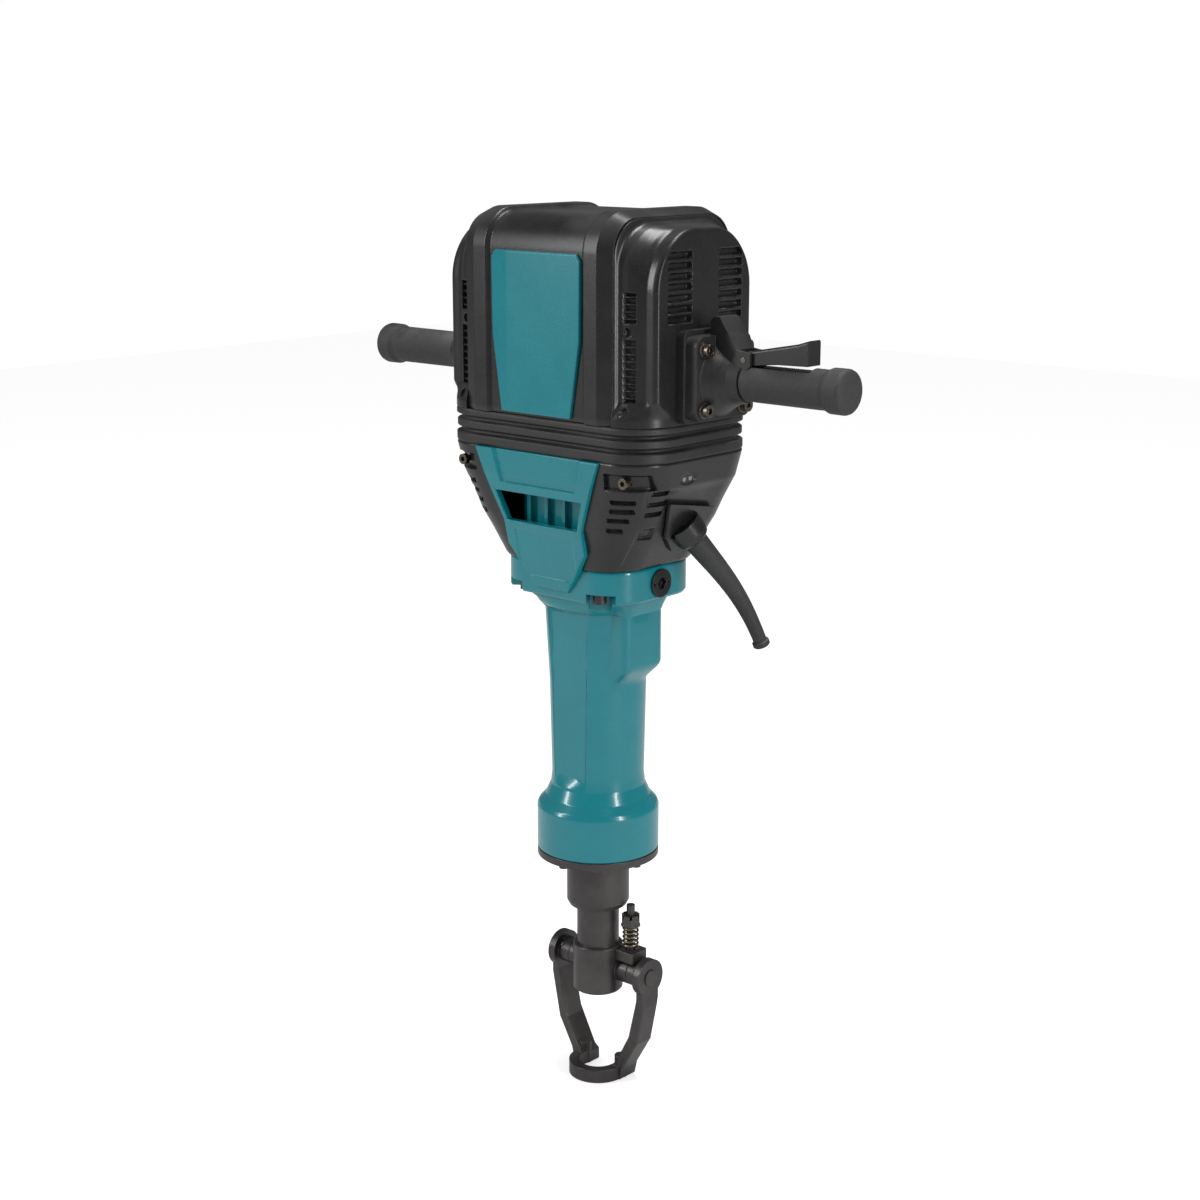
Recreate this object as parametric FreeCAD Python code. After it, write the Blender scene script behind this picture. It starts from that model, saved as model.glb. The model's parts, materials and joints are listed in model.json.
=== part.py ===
import FreeCAD, Part
import math
import os

os.makedirs("parts", exist_ok=True)

# Electric breaker hammer, millimetres.  The origin is on the hammer axis at the mouth of the tool holder.
# +Z runs up the hammer, -Y is the front (badge side) and +X is the side with the switch handle.

V = FreeCAD.Vector
X_AXIS = V(1, 0, 0)
Y_AXIS = V(0, 1, 0)
Z_AXIS = V(0, 0, 1)

# ---- named clearances -------------------------------------------------------------------------------
RUN = 0.05            # radial running fit
SLIDE = 0.3           # air between neighbours that belong to different moving bodies
SOFT_GAP = 0.3        # air at the free end of a rubber or spring part
SEAT = 0.2            # radial play of a screw in its clearance hole
SOCKET_PLAY = 0.8     # play of the tool shank across the flats of the socket

# ---- overall sizes ----------------------------------------------------------------------------------
HANDLE_SPAN = 629.0   # tip to tip across the two grips
HOOD_TOP = 842.0      # mouth of the tool holder to the top of the hood
HOOD_BASE = 638.0
BOOT_BASE = 602.0     # underside of the rubber boot
COLLAR_TOP = 485.0
COLLAR_BASE = 450.0
FLANGE_TOP = 165.6
FLANGE_BASE = 158.0
WALL = 4.0            # wall of the plastic covers

# ---- hammer axis pieces -----------------------------------------------------------------------------
HEX_AF = 28.6         # tool shank across flats
SOCKET_DEPTH = 152.0
HOLDER_R = 33.7
NECK_R = 22.8
MOUTH_R = 27.0
MOUTH_TOP = 53.7
NECK_TOP = 99.0
HOLDER_TOP = 240.0
CYL_BORE_R = 33.0
CYL_OUT_R = 38.0
CYL_BASE = 250.0
CYL_TOP = 545.0
BOLT_NOSE_R = 15.0
BOLT_SHOULDER_R = 24.0
BOLT_SHANK_R = 17.0
BOLT_TRAVEL = 10.0
STRIKER_TRAVEL = 40.0
KEY_R = 6.4           # round ends of the holder key
KEY_HALF = 2.8        # half the distance between its end centres
KEY_TURN = 42.0

# ---- drive train ------------------------------------------------------------------------------------
CRANK_THROW = 16.0
ROD_LENGTH = 105.0
PISTON_CROWN = 16.0   # gudgeon pin to the open top of the piston
MOD_FAST = 2.0        # module of the first gear pair
MOD_SLOW = 2.5        # module of the second gear pair
TEETH_PINION = 10
TEETH_WHEEL = 44
TEETH_LAY = 11
TEETH_CRANK = 40
CENTRE_SLACK = 0.2    # added to each centre distance
BACKLASH = 0.45
LAY_Z = 698.0
MOTOR_Z = LAY_Z + MOD_FAST * (TEETH_PINION + TEETH_WHEEL) / 2 + CENTRE_SLACK
CRANK_Z = LAY_Z - MOD_SLOW * (TEETH_LAY + TEETH_CRANK) / 2 - CENTRE_SLACK
PLATE_X0 = 72.0       # gear-side wall of the crank case
PLATE_X1 = 82.0
SLOW_X0 = 86.0        # crank gear and layshaft pinion
SLOW_X1 = 96.0
FAST_X0 = 98.0        # layshaft wheel and motor pinion
FAST_X1 = 106.0
MOTOR_R = 58.0
MOTOR_X0 = -96.0

# ---- handles ----------------------------------------------------------------------------------------
HANDLE_Z = 682.0
PAD_X = 140.0
GRIP_X0 = 195.0
GRIP_R = 19.0
KNOB_R = 22.0
CORE_R = 12.0
LEVER_X = 198.0
LEVER_Z = 704.0
LEVER_PIN_R = 2.5
LEVER_TIP_X = 271.0
SPOT_X = 163.0        # spot-faced seat of the handle bolts

# ---- retainer and its lock --------------------------------------------------------------------------
PIVOT_Y = 11.0
PIVOT_Z = 25.0
PIN_R = 9.0
HUB_R = 14.0
EAR_R = 20.5
BOSS_X = 42.0
EAR_X0 = 57.0
EAR_X1 = 66.0
RING_Z0 = -100.5      # underside of the retainer's ring
RING_Z1 = -86.0
RING_R = 32.0
RING_BORE_R = 21.0
ROLL_X = 53.9         # roll pins, between the lock block and the ears
LOCK_X = 37.5
LOCK_R = 4.5
LOCK_TOP = 102.0
LOCK_NUT_Z = 78.0

nodes = {}


# ---- helpers ----------------------------------------------------------------------------------------
def box(x0, x1, y0, y1, z0, z1):
    return Part.makeBox(x1 - x0, y1 - y0, z1 - z0, V(x0, y0, z0))


def cyl_z(r, z0, z1, x=0.0, y=0.0):
    return Part.makeCylinder(r, z1 - z0, V(x, y, z0), Z_AXIS)


def cyl_x(r, x0, x1, y=0.0, z=0.0):
    return Part.makeCylinder(r, x1 - x0, V(x0, y, z), X_AXIS)


def cyl_y(r, y0, y1, x=0.0, z=0.0):
    return Part.makeCylinder(r, y1 - y0, V(x, y0, z), Y_AXIS)


def rod(p, direction, r, length):
    return Part.makeCylinder(r, length, p, direction)


def prism(points, push):
    face = Part.Face(Part.makePolygon(points + [points[0]]))
    return face.extrude(push)


def prism_xz(pts, y0, y1):
    return prism([V(x, y0, z) for x, z in pts], V(0, y1 - y0, 0))


def prism_yz(pts, x0, x1):
    return prism([V(x0, y, z) for y, z in pts], V(x1 - x0, 0, 0))


def prism_xy(pts, z0, z1):
    return prism([V(x, y, z0) for x, y in pts], V(0, 0, z1 - z0))


def hex_prism(af, z0, z1, x=0.0, y=0.0, turn=0.0):
    r = af / math.sqrt(3)
    angles = [math.radians(turn + 60 * i) for i in range(6)]
    return prism_xy([(x + r * math.cos(a), y + r * math.sin(a)) for a in angles], z0, z1)


def turned(profile, axis_point=V(0, 0, 0), axis=Z_AXIS):
    """Solid of revolution of a closed list of points."""
    face = Part.Face(Part.makePolygon(profile + [profile[0]]))
    return face.revolve(axis_point, axis, 360)


def turned_z(pts, x=0.0, y=0.0):
    return turned([V(x + r, y, z) for r, z in pts], V(x, y, 0), Z_AXIS)


def turned_x(pts, y=0.0, z=0.0):
    return turned([V(x, y, z + r) for x, r in pts], V(0, y, z), X_AXIS)


def round_rect(hx, hy, r, z, cx=0.0, cy=0.0):
    """Closed wire: rectangle of half sizes hx, hy with corner radius r at height z."""
    edges = []
    corners = [(1, 1, 0), (-1, 1, 90), (-1, -1, 180), (1, -1, 270)]
    for i, (sx, sy, a0) in enumerate(corners):
        c = V(cx + sx * (hx - r), cy + sy * (hy - r), z)
        ends = []
        for a in (a0, a0 + 45, a0 + 90):
            ends.append(c + V(r * math.cos(math.radians(a)), r * math.sin(math.radians(a)), 0))
        edges.append(Part.Arc(*ends).toShape())
        nx, ny, na = corners[(i + 1) % 4]
        c2 = V(cx + nx * (hx - r), cy + ny * (hy - r), z)
        start = c2 + V(r * math.cos(math.radians(na)), r * math.sin(math.radians(na)), 0)
        edges.append(Part.makeLine(ends[2], start))
    return Part.Wire(edges)


def round_rect_prism(hx, hy, r, z0, z1, cx=0.0, cy=0.0):
    return Part.Face(round_rect(hx, hy, r, z0, cx, cy)).extrude(V(0, 0, z1 - z0))


def round_rect_loft(sections, inset=0.0):
    wires = [round_rect(hx - inset, hy - inset, r - inset, z) for z, hx, hy, r in sections]
    return Part.makeLoft(wires, True, True)


def fuse(shapes):
    shapes = list(shapes)
    if len(shapes) == 1:
        return shapes[0]
    return shapes[0].multiFuse(shapes[1:]).removeSplitter()


def cut(shape, tools):
    tools = list(tools)
    if not tools:
        return shape
    return shape.cut(tools)


def mirror_x(shape):
    return shape.mirror(V(0, 0, 0), X_AXIS)


def mirror_y(shape):
    return shape.mirror(V(0, 0, 0), Y_AXIS)


def quad(shape):
    """The shape and its three mirror images in X and Y."""
    half = [shape, mirror_x(shape)]
    return half + [mirror_y(s) for s in half]


def spring(radius, wire_r, z0, z1, turns, x=0.0, y=0.0):
    """Round-wire compression spring that fills z0 to z1."""
    height = z1 - z0 - 2 * wire_r
    helix = Part.makeHelix(height / turns, height, radius)
    rise = height / turns
    tangent = V(0, radius * 2 * math.pi, rise)
    ring = Part.Wire(Part.makeCircle(wire_r, V(radius, 0, 0), tangent))
    coil = Part.Wire(helix).makePipeShell([ring], True, True)
    coil.translate(V(x, y, z0 + wire_r))
    return coil


def socket_screw(p, out, shank_r, shank_len, head_r, head_h, key_af):
    """Socket head screw: p is under the head, out points away from the work."""
    out = V(out)
    out.normalize()
    head = rod(p, out, head_r, head_h)
    shank = rod(p - out * shank_len, out, shank_r, shank_len + 0.5)
    key = hex_prism(key_af, 0, head_h * 0.6 + 1)
    key.Placement = FreeCAD.Placement(p + out * (head_h * 0.4), FreeCAD.Rotation(Z_AXIS, out))
    return fuse([head, shank]).cut(key)


def node(name, shape):
    solids = shape.Solids
    nodes[name] = solids[0] if len(solids) == 1 else Part.makeCompound(solids)


def group(name, shapes):
    nodes[name] = Part.makeCompound([s for shape in shapes for s in shape.Solids])


# ---- gears ------------------------------------------------------------------------------------------
def gear(teeth, module, x0, x1, z, bore_r, tooth_at):
    """Spur gear about the X direction; one tooth centre points tooth_at degrees from +Z towards -Y."""
    pressure = math.radians(20)
    pitch_r = module * teeth / 2
    base_r = pitch_r * math.cos(pressure)
    root_r = pitch_r - 1.25 * module
    tip_r = pitch_r + 0.9 * module
    involute = math.tan(pressure) - pressure
    half = (math.pi * module / 2 - BACKLASH / 2) / (2 * pitch_r)
    start_r = max(base_r, root_r)
    steps = 4
    radii = [start_r + (tip_r - start_r) * i / steps for i in range(steps + 1)]
    flank = [(root_r, half + involute)]
    for r in radii:
        roll = math.acos(min(1.0, base_r / r))
        flank.append((r, half + involute - (math.tan(roll) - roll)))
    points = []
    for t in range(teeth):
        mid = math.radians(tooth_at) + 2 * math.pi * t / teeth
        side = [(r, mid - a) for r, a in flank] + [(r, mid + a) for r, a in reversed(flank)]
        points += [(-r * math.sin(a), z + r * math.cos(a)) for r, a in side]
    body = prism_yz(points, x0, x1)
    return body.cut(cyl_x(bore_r, x0 - 1, x1 + 1, 0, z))


# ---- hammer axis: holder, impact bolt, striker, cylinder --------------------------------------------
def flat_key(r, half, y0, y1, z):
    """Round-ended key lying across the axis, from y0 to y1."""
    ends = [cyl_y(r, y0, y1, s * half, z) for s in (-1, 1)]
    return fuse(ends + [box(-half, half, y0, y1, z - r, z + r)])


def hammer_axis():
    chamfer = 5.0
    outer = turned_z([(0, 0), (MOUTH_R - 2, 0), (MOUTH_R, 2), (MOUTH_R, MOUTH_TOP - 1.5),
                      (MOUTH_R - 1.5, MOUTH_TOP), (NECK_R, MOUTH_TOP), (NECK_R, NECK_TOP),
                      (HOLDER_R - chamfer / 2, NECK_TOP), (HOLDER_R, NECK_TOP + chamfer),
                      (HOLDER_R, HOLDER_TOP), (0, HOLDER_TOP)])
    bosses = cyl_x(HUB_R, -BOSS_X, BOSS_X, PIVOT_Y, PIVOT_Z)
    holder = fuse([outer, bosses])
    chamber_r = BOLT_SHOULDER_R + 3
    socket = hex_prism(HEX_AF + SOCKET_PLAY, -1, SOCKET_DEPTH, turn=30)
    nose_bore = cyl_z(BOLT_NOSE_R + RUN, SOCKET_DEPTH - 1, 200)
    chamber = cyl_z(chamber_r, 184.5, HOLDER_TOP + 1)
    pin_r = PIN_R + RUN
    pin_bores = [cyl_x(pin_r, 21.5, BOSS_X + 1, PIVOT_Y, PIVOT_Z),
                 cyl_x(pin_r, -BOSS_X - 1, -21.5, PIVOT_Y, PIVOT_Z)]
    stud_bore = cyl_z(LOCK_R, PIVOT_Z + PIN_R + 1, PIVOT_Z + HUB_R + 5, LOCK_X, PIVOT_Y)
    key_z = FLANGE_BASE - KEY_R - 0.6
    key_floor = -HOLDER_R + 3
    key_slot = flat_key(KEY_R + SEAT, KEY_HALF, -HOLDER_R - 1, key_floor, key_z)
    key_slot.rotate(V(0, 0, 0), Z_AXIS, KEY_TURN)
    holder = cut(holder, [socket, nose_bore, chamber, stud_bore, key_slot] + pin_bores)
    node("tool_holder", holder)
    key = flat_key(KEY_R, KEY_HALF, -HOLDER_R - 0.6, key_floor, key_z)
    key.rotate(V(0, 0, 0), Z_AXIS, KEY_TURN)
    node("holder_key", key)

    shoulder_z0 = 185.0
    shoulder_z1 = 200.0
    shank_top = 270.0
    bolt = turned_z([(0, SOCKET_DEPTH + SLIDE), (BOLT_NOSE_R - 2, SOCKET_DEPTH + SLIDE),
                     (BOLT_NOSE_R, SOCKET_DEPTH + SLIDE + 2), (BOLT_NOSE_R, shoulder_z0),
                     (BOLT_SHOULDER_R, shoulder_z0), (BOLT_SHOULDER_R, shoulder_z1 - 4),
                     (BOLT_SHOULDER_R - 4, shoulder_z1), (BOLT_SHANK_R, shoulder_z1),
                     (BOLT_SHANK_R, shank_top - 2), (BOLT_SHANK_R - 2, shank_top), (0, shank_top)])
    node("impact_bolt", bolt)

    ring_z0 = shoulder_z1 + BOLT_TRAVEL + 1
    sleeve_z0 = ring_z0 + 7
    sleeve_top = shank_top + BOLT_TRAVEL + 4
    buffer_bore = cyl_z(BOLT_SHANK_R + 1, ring_z0 - 1, sleeve_z0 + 1)
    node("buffer_ring", cyl_z(chamber_r, ring_z0, sleeve_z0).cut(buffer_bore))
    sleeve = fuse([cyl_z(chamber_r, sleeve_z0, HOLDER_TOP), cyl_z(CYL_OUT_R, HOLDER_TOP, CYL_BASE),
                   cyl_z(CYL_BORE_R, CYL_BASE, sleeve_top)])
    node("guide_sleeve", sleeve.cut(cyl_z(BOLT_SHANK_R + RUN, sleeve_z0 - 1, sleeve_top + 1)))

    cylinder = cyl_z(CYL_OUT_R, CYL_BASE, CYL_TOP).cut(cyl_z(CYL_BORE_R, CYL_BASE - 1, CYL_TOP + 1))
    port_z = sleeve_top + STRIKER_TRAVEL
    ports = [rod(V(0, 0, port_z), V(math.cos(a), math.sin(a), 0), 3, CYL_OUT_R + 1)
             for a in (math.radians(60 * i + 30) for i in range(6))]
    node("cylinder", cut(cylinder, ports))

    striker_base = sleeve_top + 2
    striker_top = striker_base + 90
    groove = 2.5
    r = CYL_BORE_R - RUN
    striker = turned_z([(0, striker_base), (13, striker_base), (16, striker_base + 3), (16, striker_base + 12),
                        (r - 2, striker_base + 14), (r, striker_base + 16), (r, striker_top - 16),
                        (r - groove, striker_top - 16), (r - groove, striker_top - 11), (r, striker_top - 11),
                        (r, striker_top - 1), (r - 1, striker_top), (0, striker_top)])
    node("striker", striker)

    piston_z = CRANK_Z - CRANK_THROW - ROD_LENGTH
    base = piston_z - 30
    top = piston_z + PISTON_CROWN
    piston = turned_z([(0, base), (r - 1, base), (r, base + 1), (r, base + 8), (r - groove, base + 8),
                       (r - groove, base + 13), (r, base + 13), (r, top), (r - 6, top), (r - 6, base + 16),
                       (0, base + 16)])
    piston = cut(piston, [cyl_x(8, -40, 40, 0, piston_z)])
    gudgeon = cyl_x(8, -r + 1.5, r - 1.5, 0, piston_z)
    lugs = [cyl_x(13, s * 18 - 6, s * 18 + 6, 0, piston_z) for s in (-1, 1)]
    inner = cyl_z(r - 3, base + 10, top)
    lugs = [fuse([lug, box(min(s * 12, s * 24), max(s * 12, s * 24), -8, 8, base + 15, piston_z)]).common(inner)
            for lug, s in zip(lugs, (-1, 1))]
    piston = fuse([piston] + [cut(lug, [cyl_x(8, -40, 40, 0, piston_z)]) for lug in lugs])
    node("piston", piston)
    node("gudgeon_pin", gudgeon)

    big_z = piston_z + ROD_LENGTH
    arm = prism_yz([(-9, piston_z + 8), (9, piston_z + 8), (11, big_z - 12), (-11, big_z - 12)], -6, 6)
    rod_body = fuse([arm, cyl_x(13, -8, 8, 0, piston_z), cyl_x(18, -8, 8, 0, big_z)])
    flute = prism_yz([(-4, piston_z + 18), (4, piston_z + 18), (5, big_z - 24), (-5, big_z - 24)], 4, 9)
    rod_body = cut(rod_body, [cyl_x(8 + RUN, -9, 9, 0, piston_z), cyl_x(10, -9, 9, 0, big_z),
                              flute, mirror_x(flute)])
    node("connecting_rod", rod_body)


# ---- drive train ------------------------------------------------------------------------------------
def bearing(x0, x1, z, shaft_r, out_r):
    ring = cyl_x(out_r, x0, x1, 0, z).cut(cyl_x(shaft_r + RUN, x0 - 1, x1 + 1, 0, z))
    depth = 0.8
    mid_r = (shaft_r + out_r) / 2
    band = (out_r - shaft_r) * 0.18
    grooves = []
    for a, b in ((x0 - 1, x0 + depth), (x1 - depth, x1 + 1)):
        grooves.append(cyl_x(mid_r + band, a, b, 0, z).cut(cyl_x(mid_r - band, a, b, 0, z)))
    return cut(ring, grooves)


ARM_SHAFT_R = 8.0
LAY_SHAFT_R = 7.0
CRANK_SHAFT_R = 15.0
ARM_BEARING_R = 14.0
LAY_BEARING_R = 12.0
CRANK_BEARING_R = 26.0
WEB_X0 = 26.0
WEB_X1 = 44.0
COVER_X1 = FAST_X1 + 6.5
REAR_BEARING_X0 = -106.0


def drive_train():
    fan_x0 = 54.0
    fan_x1 = 69.0
    core_x = 45.0
    shaft = fuse([cyl_x(ARM_SHAFT_R, REAR_BEARING_X0 + 1, FAST_X0 - 1, 0, MOTOR_Z),
                  cyl_x(5.5, FAST_X0 - 2, FAST_X1 + 1.5, 0, MOTOR_Z)])
    core = cyl_x(29, -core_x, core_x, 0, MOTOR_Z)
    slots = []
    for i in range(12):
        slot = box(-core_x - 1, core_x + 1, -1.5, 1.5, 24, 30)
        slot.rotate(V(0, 0, 0), X_AXIS, 30 * i)
        slot.translate(V(0, 0, MOTOR_Z))
        slots.append(slot)
    core = cut(core, slots)
    coils = [cyl_x(25, core_x, fan_x0 - 2, 0, MOTOR_Z), cyl_x(25, -core_x - 9, -core_x, 0, MOTOR_Z)]
    commutator = cyl_x(22, -88, -62, 0, MOTOR_Z)
    neck = cyl_x(14, -62, -core_x - 9, 0, MOTOR_Z)
    bore = cyl_x(ARM_SHAFT_R, -120, 120, 0, MOTOR_Z)
    core = cut(fuse([core] + coils + [neck]), [bore])
    segments = []
    for i in range(16):
        seg = box(-89, -61, -0.4, 0.4, 20, 23)
        seg.rotate(V(0, 0, 0), X_AXIS, 22.5 * i)
        seg.translate(V(0, 0, MOTOR_Z))
        segments.append(seg)
    group("armature_core", [core, cut(commutator, [bore] + segments)])

    fan = cyl_x(50, fan_x1 - 3, fan_x1, 0, MOTOR_Z)
    hub = cyl_x(14, fan_x0, fan_x1, 0, MOTOR_Z)
    blades = []
    for i in range(11):
        blade = box(fan_x0, fan_x1 - 2, -1.2, 1.2, 26, 50)
        blade.rotate(V(0, 0, 26), X_AXIS, 35)
        blade = blade.common(cyl_x(50, fan_x0, fan_x1, 0, 0))
        blade.rotate(V(0, 0, 0), X_AXIS, 360 / 11 * i)
        blade.translate(V(0, 0, MOTOR_Z))
        blades.append(blade)
    node("cooling_fan", cut(fuse([fan, hub] + blades), [bore]))

    wheel_at_motor = 180.0 / TEETH_WHEEL
    pinion = gear(TEETH_PINION, MOD_FAST, FAST_X0, FAST_X1, MOTOR_Z, 1.0, 180)
    node("armature_shaft", fuse([shaft, pinion]))
    node("layshaft_wheel", gear(TEETH_WHEEL, MOD_FAST, FAST_X0, FAST_X1, LAY_Z, LAY_SHAFT_R, wheel_at_motor))
    lay_pinion = gear(TEETH_LAY, MOD_SLOW, SLOW_X0, SLOW_X1, LAY_Z, 1.0, 180)
    lay_shaft = cyl_x(LAY_SHAFT_R, PLATE_X0 + 1, COVER_X1 + 2, 0, LAY_Z)
    node("layshaft", fuse([lay_pinion, lay_shaft]))
    gear_bore = 11.0
    crank_gear = gear(TEETH_CRANK, MOD_SLOW, SLOW_X0, SLOW_X1, CRANK_Z, gear_bore, 180.0 / TEETH_CRANK)
    holes = [cyl_x(7, SLOW_X0 - 1, SLOW_X1 + 1, 29 * math.sin(a), CRANK_Z + 29 * math.cos(a))
             for a in (math.radians(72 * i) for i in range(5))]
    node("crank_gear", cut(crank_gear, holes))

    disc_x0 = 12.0
    disc_x1 = 22.0
    disc = cyl_x(34, disc_x0, disc_x1, 0, CRANK_Z)
    relief = [box(disc_x0 - 1, disc_x1 + 1, s * 34 - 14, s * 34 + 14, CRANK_Z - 40, CRANK_Z - 2)
              for s in (-1, 1)]
    disc = cut(disc, relief)
    pin = cyl_x(9, 9, disc_x0 + 1, 0, CRANK_Z - CRANK_THROW)
    shaft = cyl_x(CRANK_SHAFT_R, disc_x1 - 1, PLATE_X1 + 2, 0, CRANK_Z)
    tail = cyl_x(gear_bore, PLATE_X1, SLOW_X1 + 1, 0, CRANK_Z)
    node("crankshaft", fuse([disc, pin, shaft, tail]))

    group("rolling_bearings", [bearing(REAR_BEARING_X0, MOTOR_X0, MOTOR_Z, ARM_SHAFT_R, ARM_BEARING_R),
                               bearing(PLATE_X0, PLATE_X1, MOTOR_Z, ARM_SHAFT_R, ARM_BEARING_R),
                               bearing(PLATE_X0, PLATE_X1, LAY_Z, LAY_SHAFT_R, LAY_BEARING_R),
                               bearing(COVER_X1 - 4, COVER_X1 + 3, LAY_Z, LAY_SHAFT_R, LAY_BEARING_R),
                               bearing(WEB_X0 + 2, WEB_X1 - 2, CRANK_Z, CRANK_SHAFT_R, CRANK_BEARING_R),
                               bearing(PLATE_X0, PLATE_X1, CRANK_Z, CRANK_SHAFT_R, CRANK_BEARING_R)])

    tube_in = MOTOR_R - 2
    case_bore = cyl_x(tube_in, MOTOR_X0 + 4, PLATE_X0 + 1, 0, MOTOR_Z)
    case = cyl_x(MOTOR_R, MOTOR_X0, PLATE_X0, 0, MOTOR_Z).cut(case_bore)
    boss = cyl_x(ARM_BEARING_R + 4, REAR_BEARING_X0 - 2, MOTOR_X0 + 1, 0, MOTOR_Z)
    case = fuse([case, boss])
    vents = []
    for i in range(8):
        for x0, x1 in ((-86, -66), (54, 68)):
            vent = box(x0, x1, -5, 5, MOTOR_R - 6, MOTOR_R + 3)
            vent.rotate(V(0, 0, 0), X_AXIS, 45 * i + 22.5)
            vent.translate(V(0, 0, MOTOR_Z))
            vents.append(vent)
    bearing_seat = [cyl_x(ARM_BEARING_R, REAR_BEARING_X0, MOTOR_X0 + 0.01, 0, MOTOR_Z),
                    cyl_x(ARM_SHAFT_R + 2, MOTOR_X0 - 1, MOTOR_X0 + 5, 0, MOTOR_Z)]
    brush_x0 = -81.0
    brush_x1 = -69.0
    brush_cuts = [box(brush_x0 - 3, brush_x1 + 3, s * 50 - 12, s * 50 + 12, MOTOR_Z - 9, MOTOR_Z + 9)
                  for s in (-1, 1)]
    node("motor_case", cut(case, vents + bearing_seat + brush_cuts))
    stator = cyl_x(tube_in, -48, 48, 0, MOTOR_Z).cut(cyl_x(30.5, -49, 49, 0, MOTOR_Z))
    windows = [box(-49, 49, s * 44 - 6, s * 44 + 6, MOTOR_Z - 14, MOTOR_Z + 14) for s in (-1, 1)]
    coils = [box(-53, 53, s * 44 - 5.5, s * 44 + 5.5, MOTOR_Z - 13.5, MOTOR_Z + 13.5) for s in (-1, 1)]
    group("stator", [cut(stator, windows)] + coils)
    holders = []
    brushes = []
    for s in (-1, 1):
        y0, y1 = sorted((s * 24, s * 60))
        outer = box(brush_x0 - 3, brush_x1 + 3, y0, y1, MOTOR_Z - 8, MOTOR_Z + 8)
        b0, b1 = sorted((s * (22 + SLIDE), s * 46))
        h0, h1 = sorted((s * 20, s * 46))
        holders.append(outer.cut(box(brush_x0, brush_x1, h0, h1, MOTOR_Z - 4, MOTOR_Z + 4)))
        brushes.append(box(brush_x0, brush_x1, b0, b1, MOTOR_Z - 4, MOTOR_Z + 4))
    group("brush_gear", holders + brushes)


# ---- main castings ----------------------------------------------------------------------------------
DECK_Z0 = 588.0
DECK_Z1 = 596.0
BARREL_R = 49.0
FLANGE_R = 65.0
COLLAR_X = 85.0
COLLAR_Y = 68.0
COLLAR_CORNER = 42.0
STUD_X = 51.0
STUD_Y = 54.0
BOLT_HEAD = 11.0      # height of the collar bolts' heads
BOLT_SEAT = COLLAR_BASE + 10.5
NOTCH_HALF = 12.0     # half width of the notch over each collar bolt
OIL_Z = 467.0
OIL_R = 14.85


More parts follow.
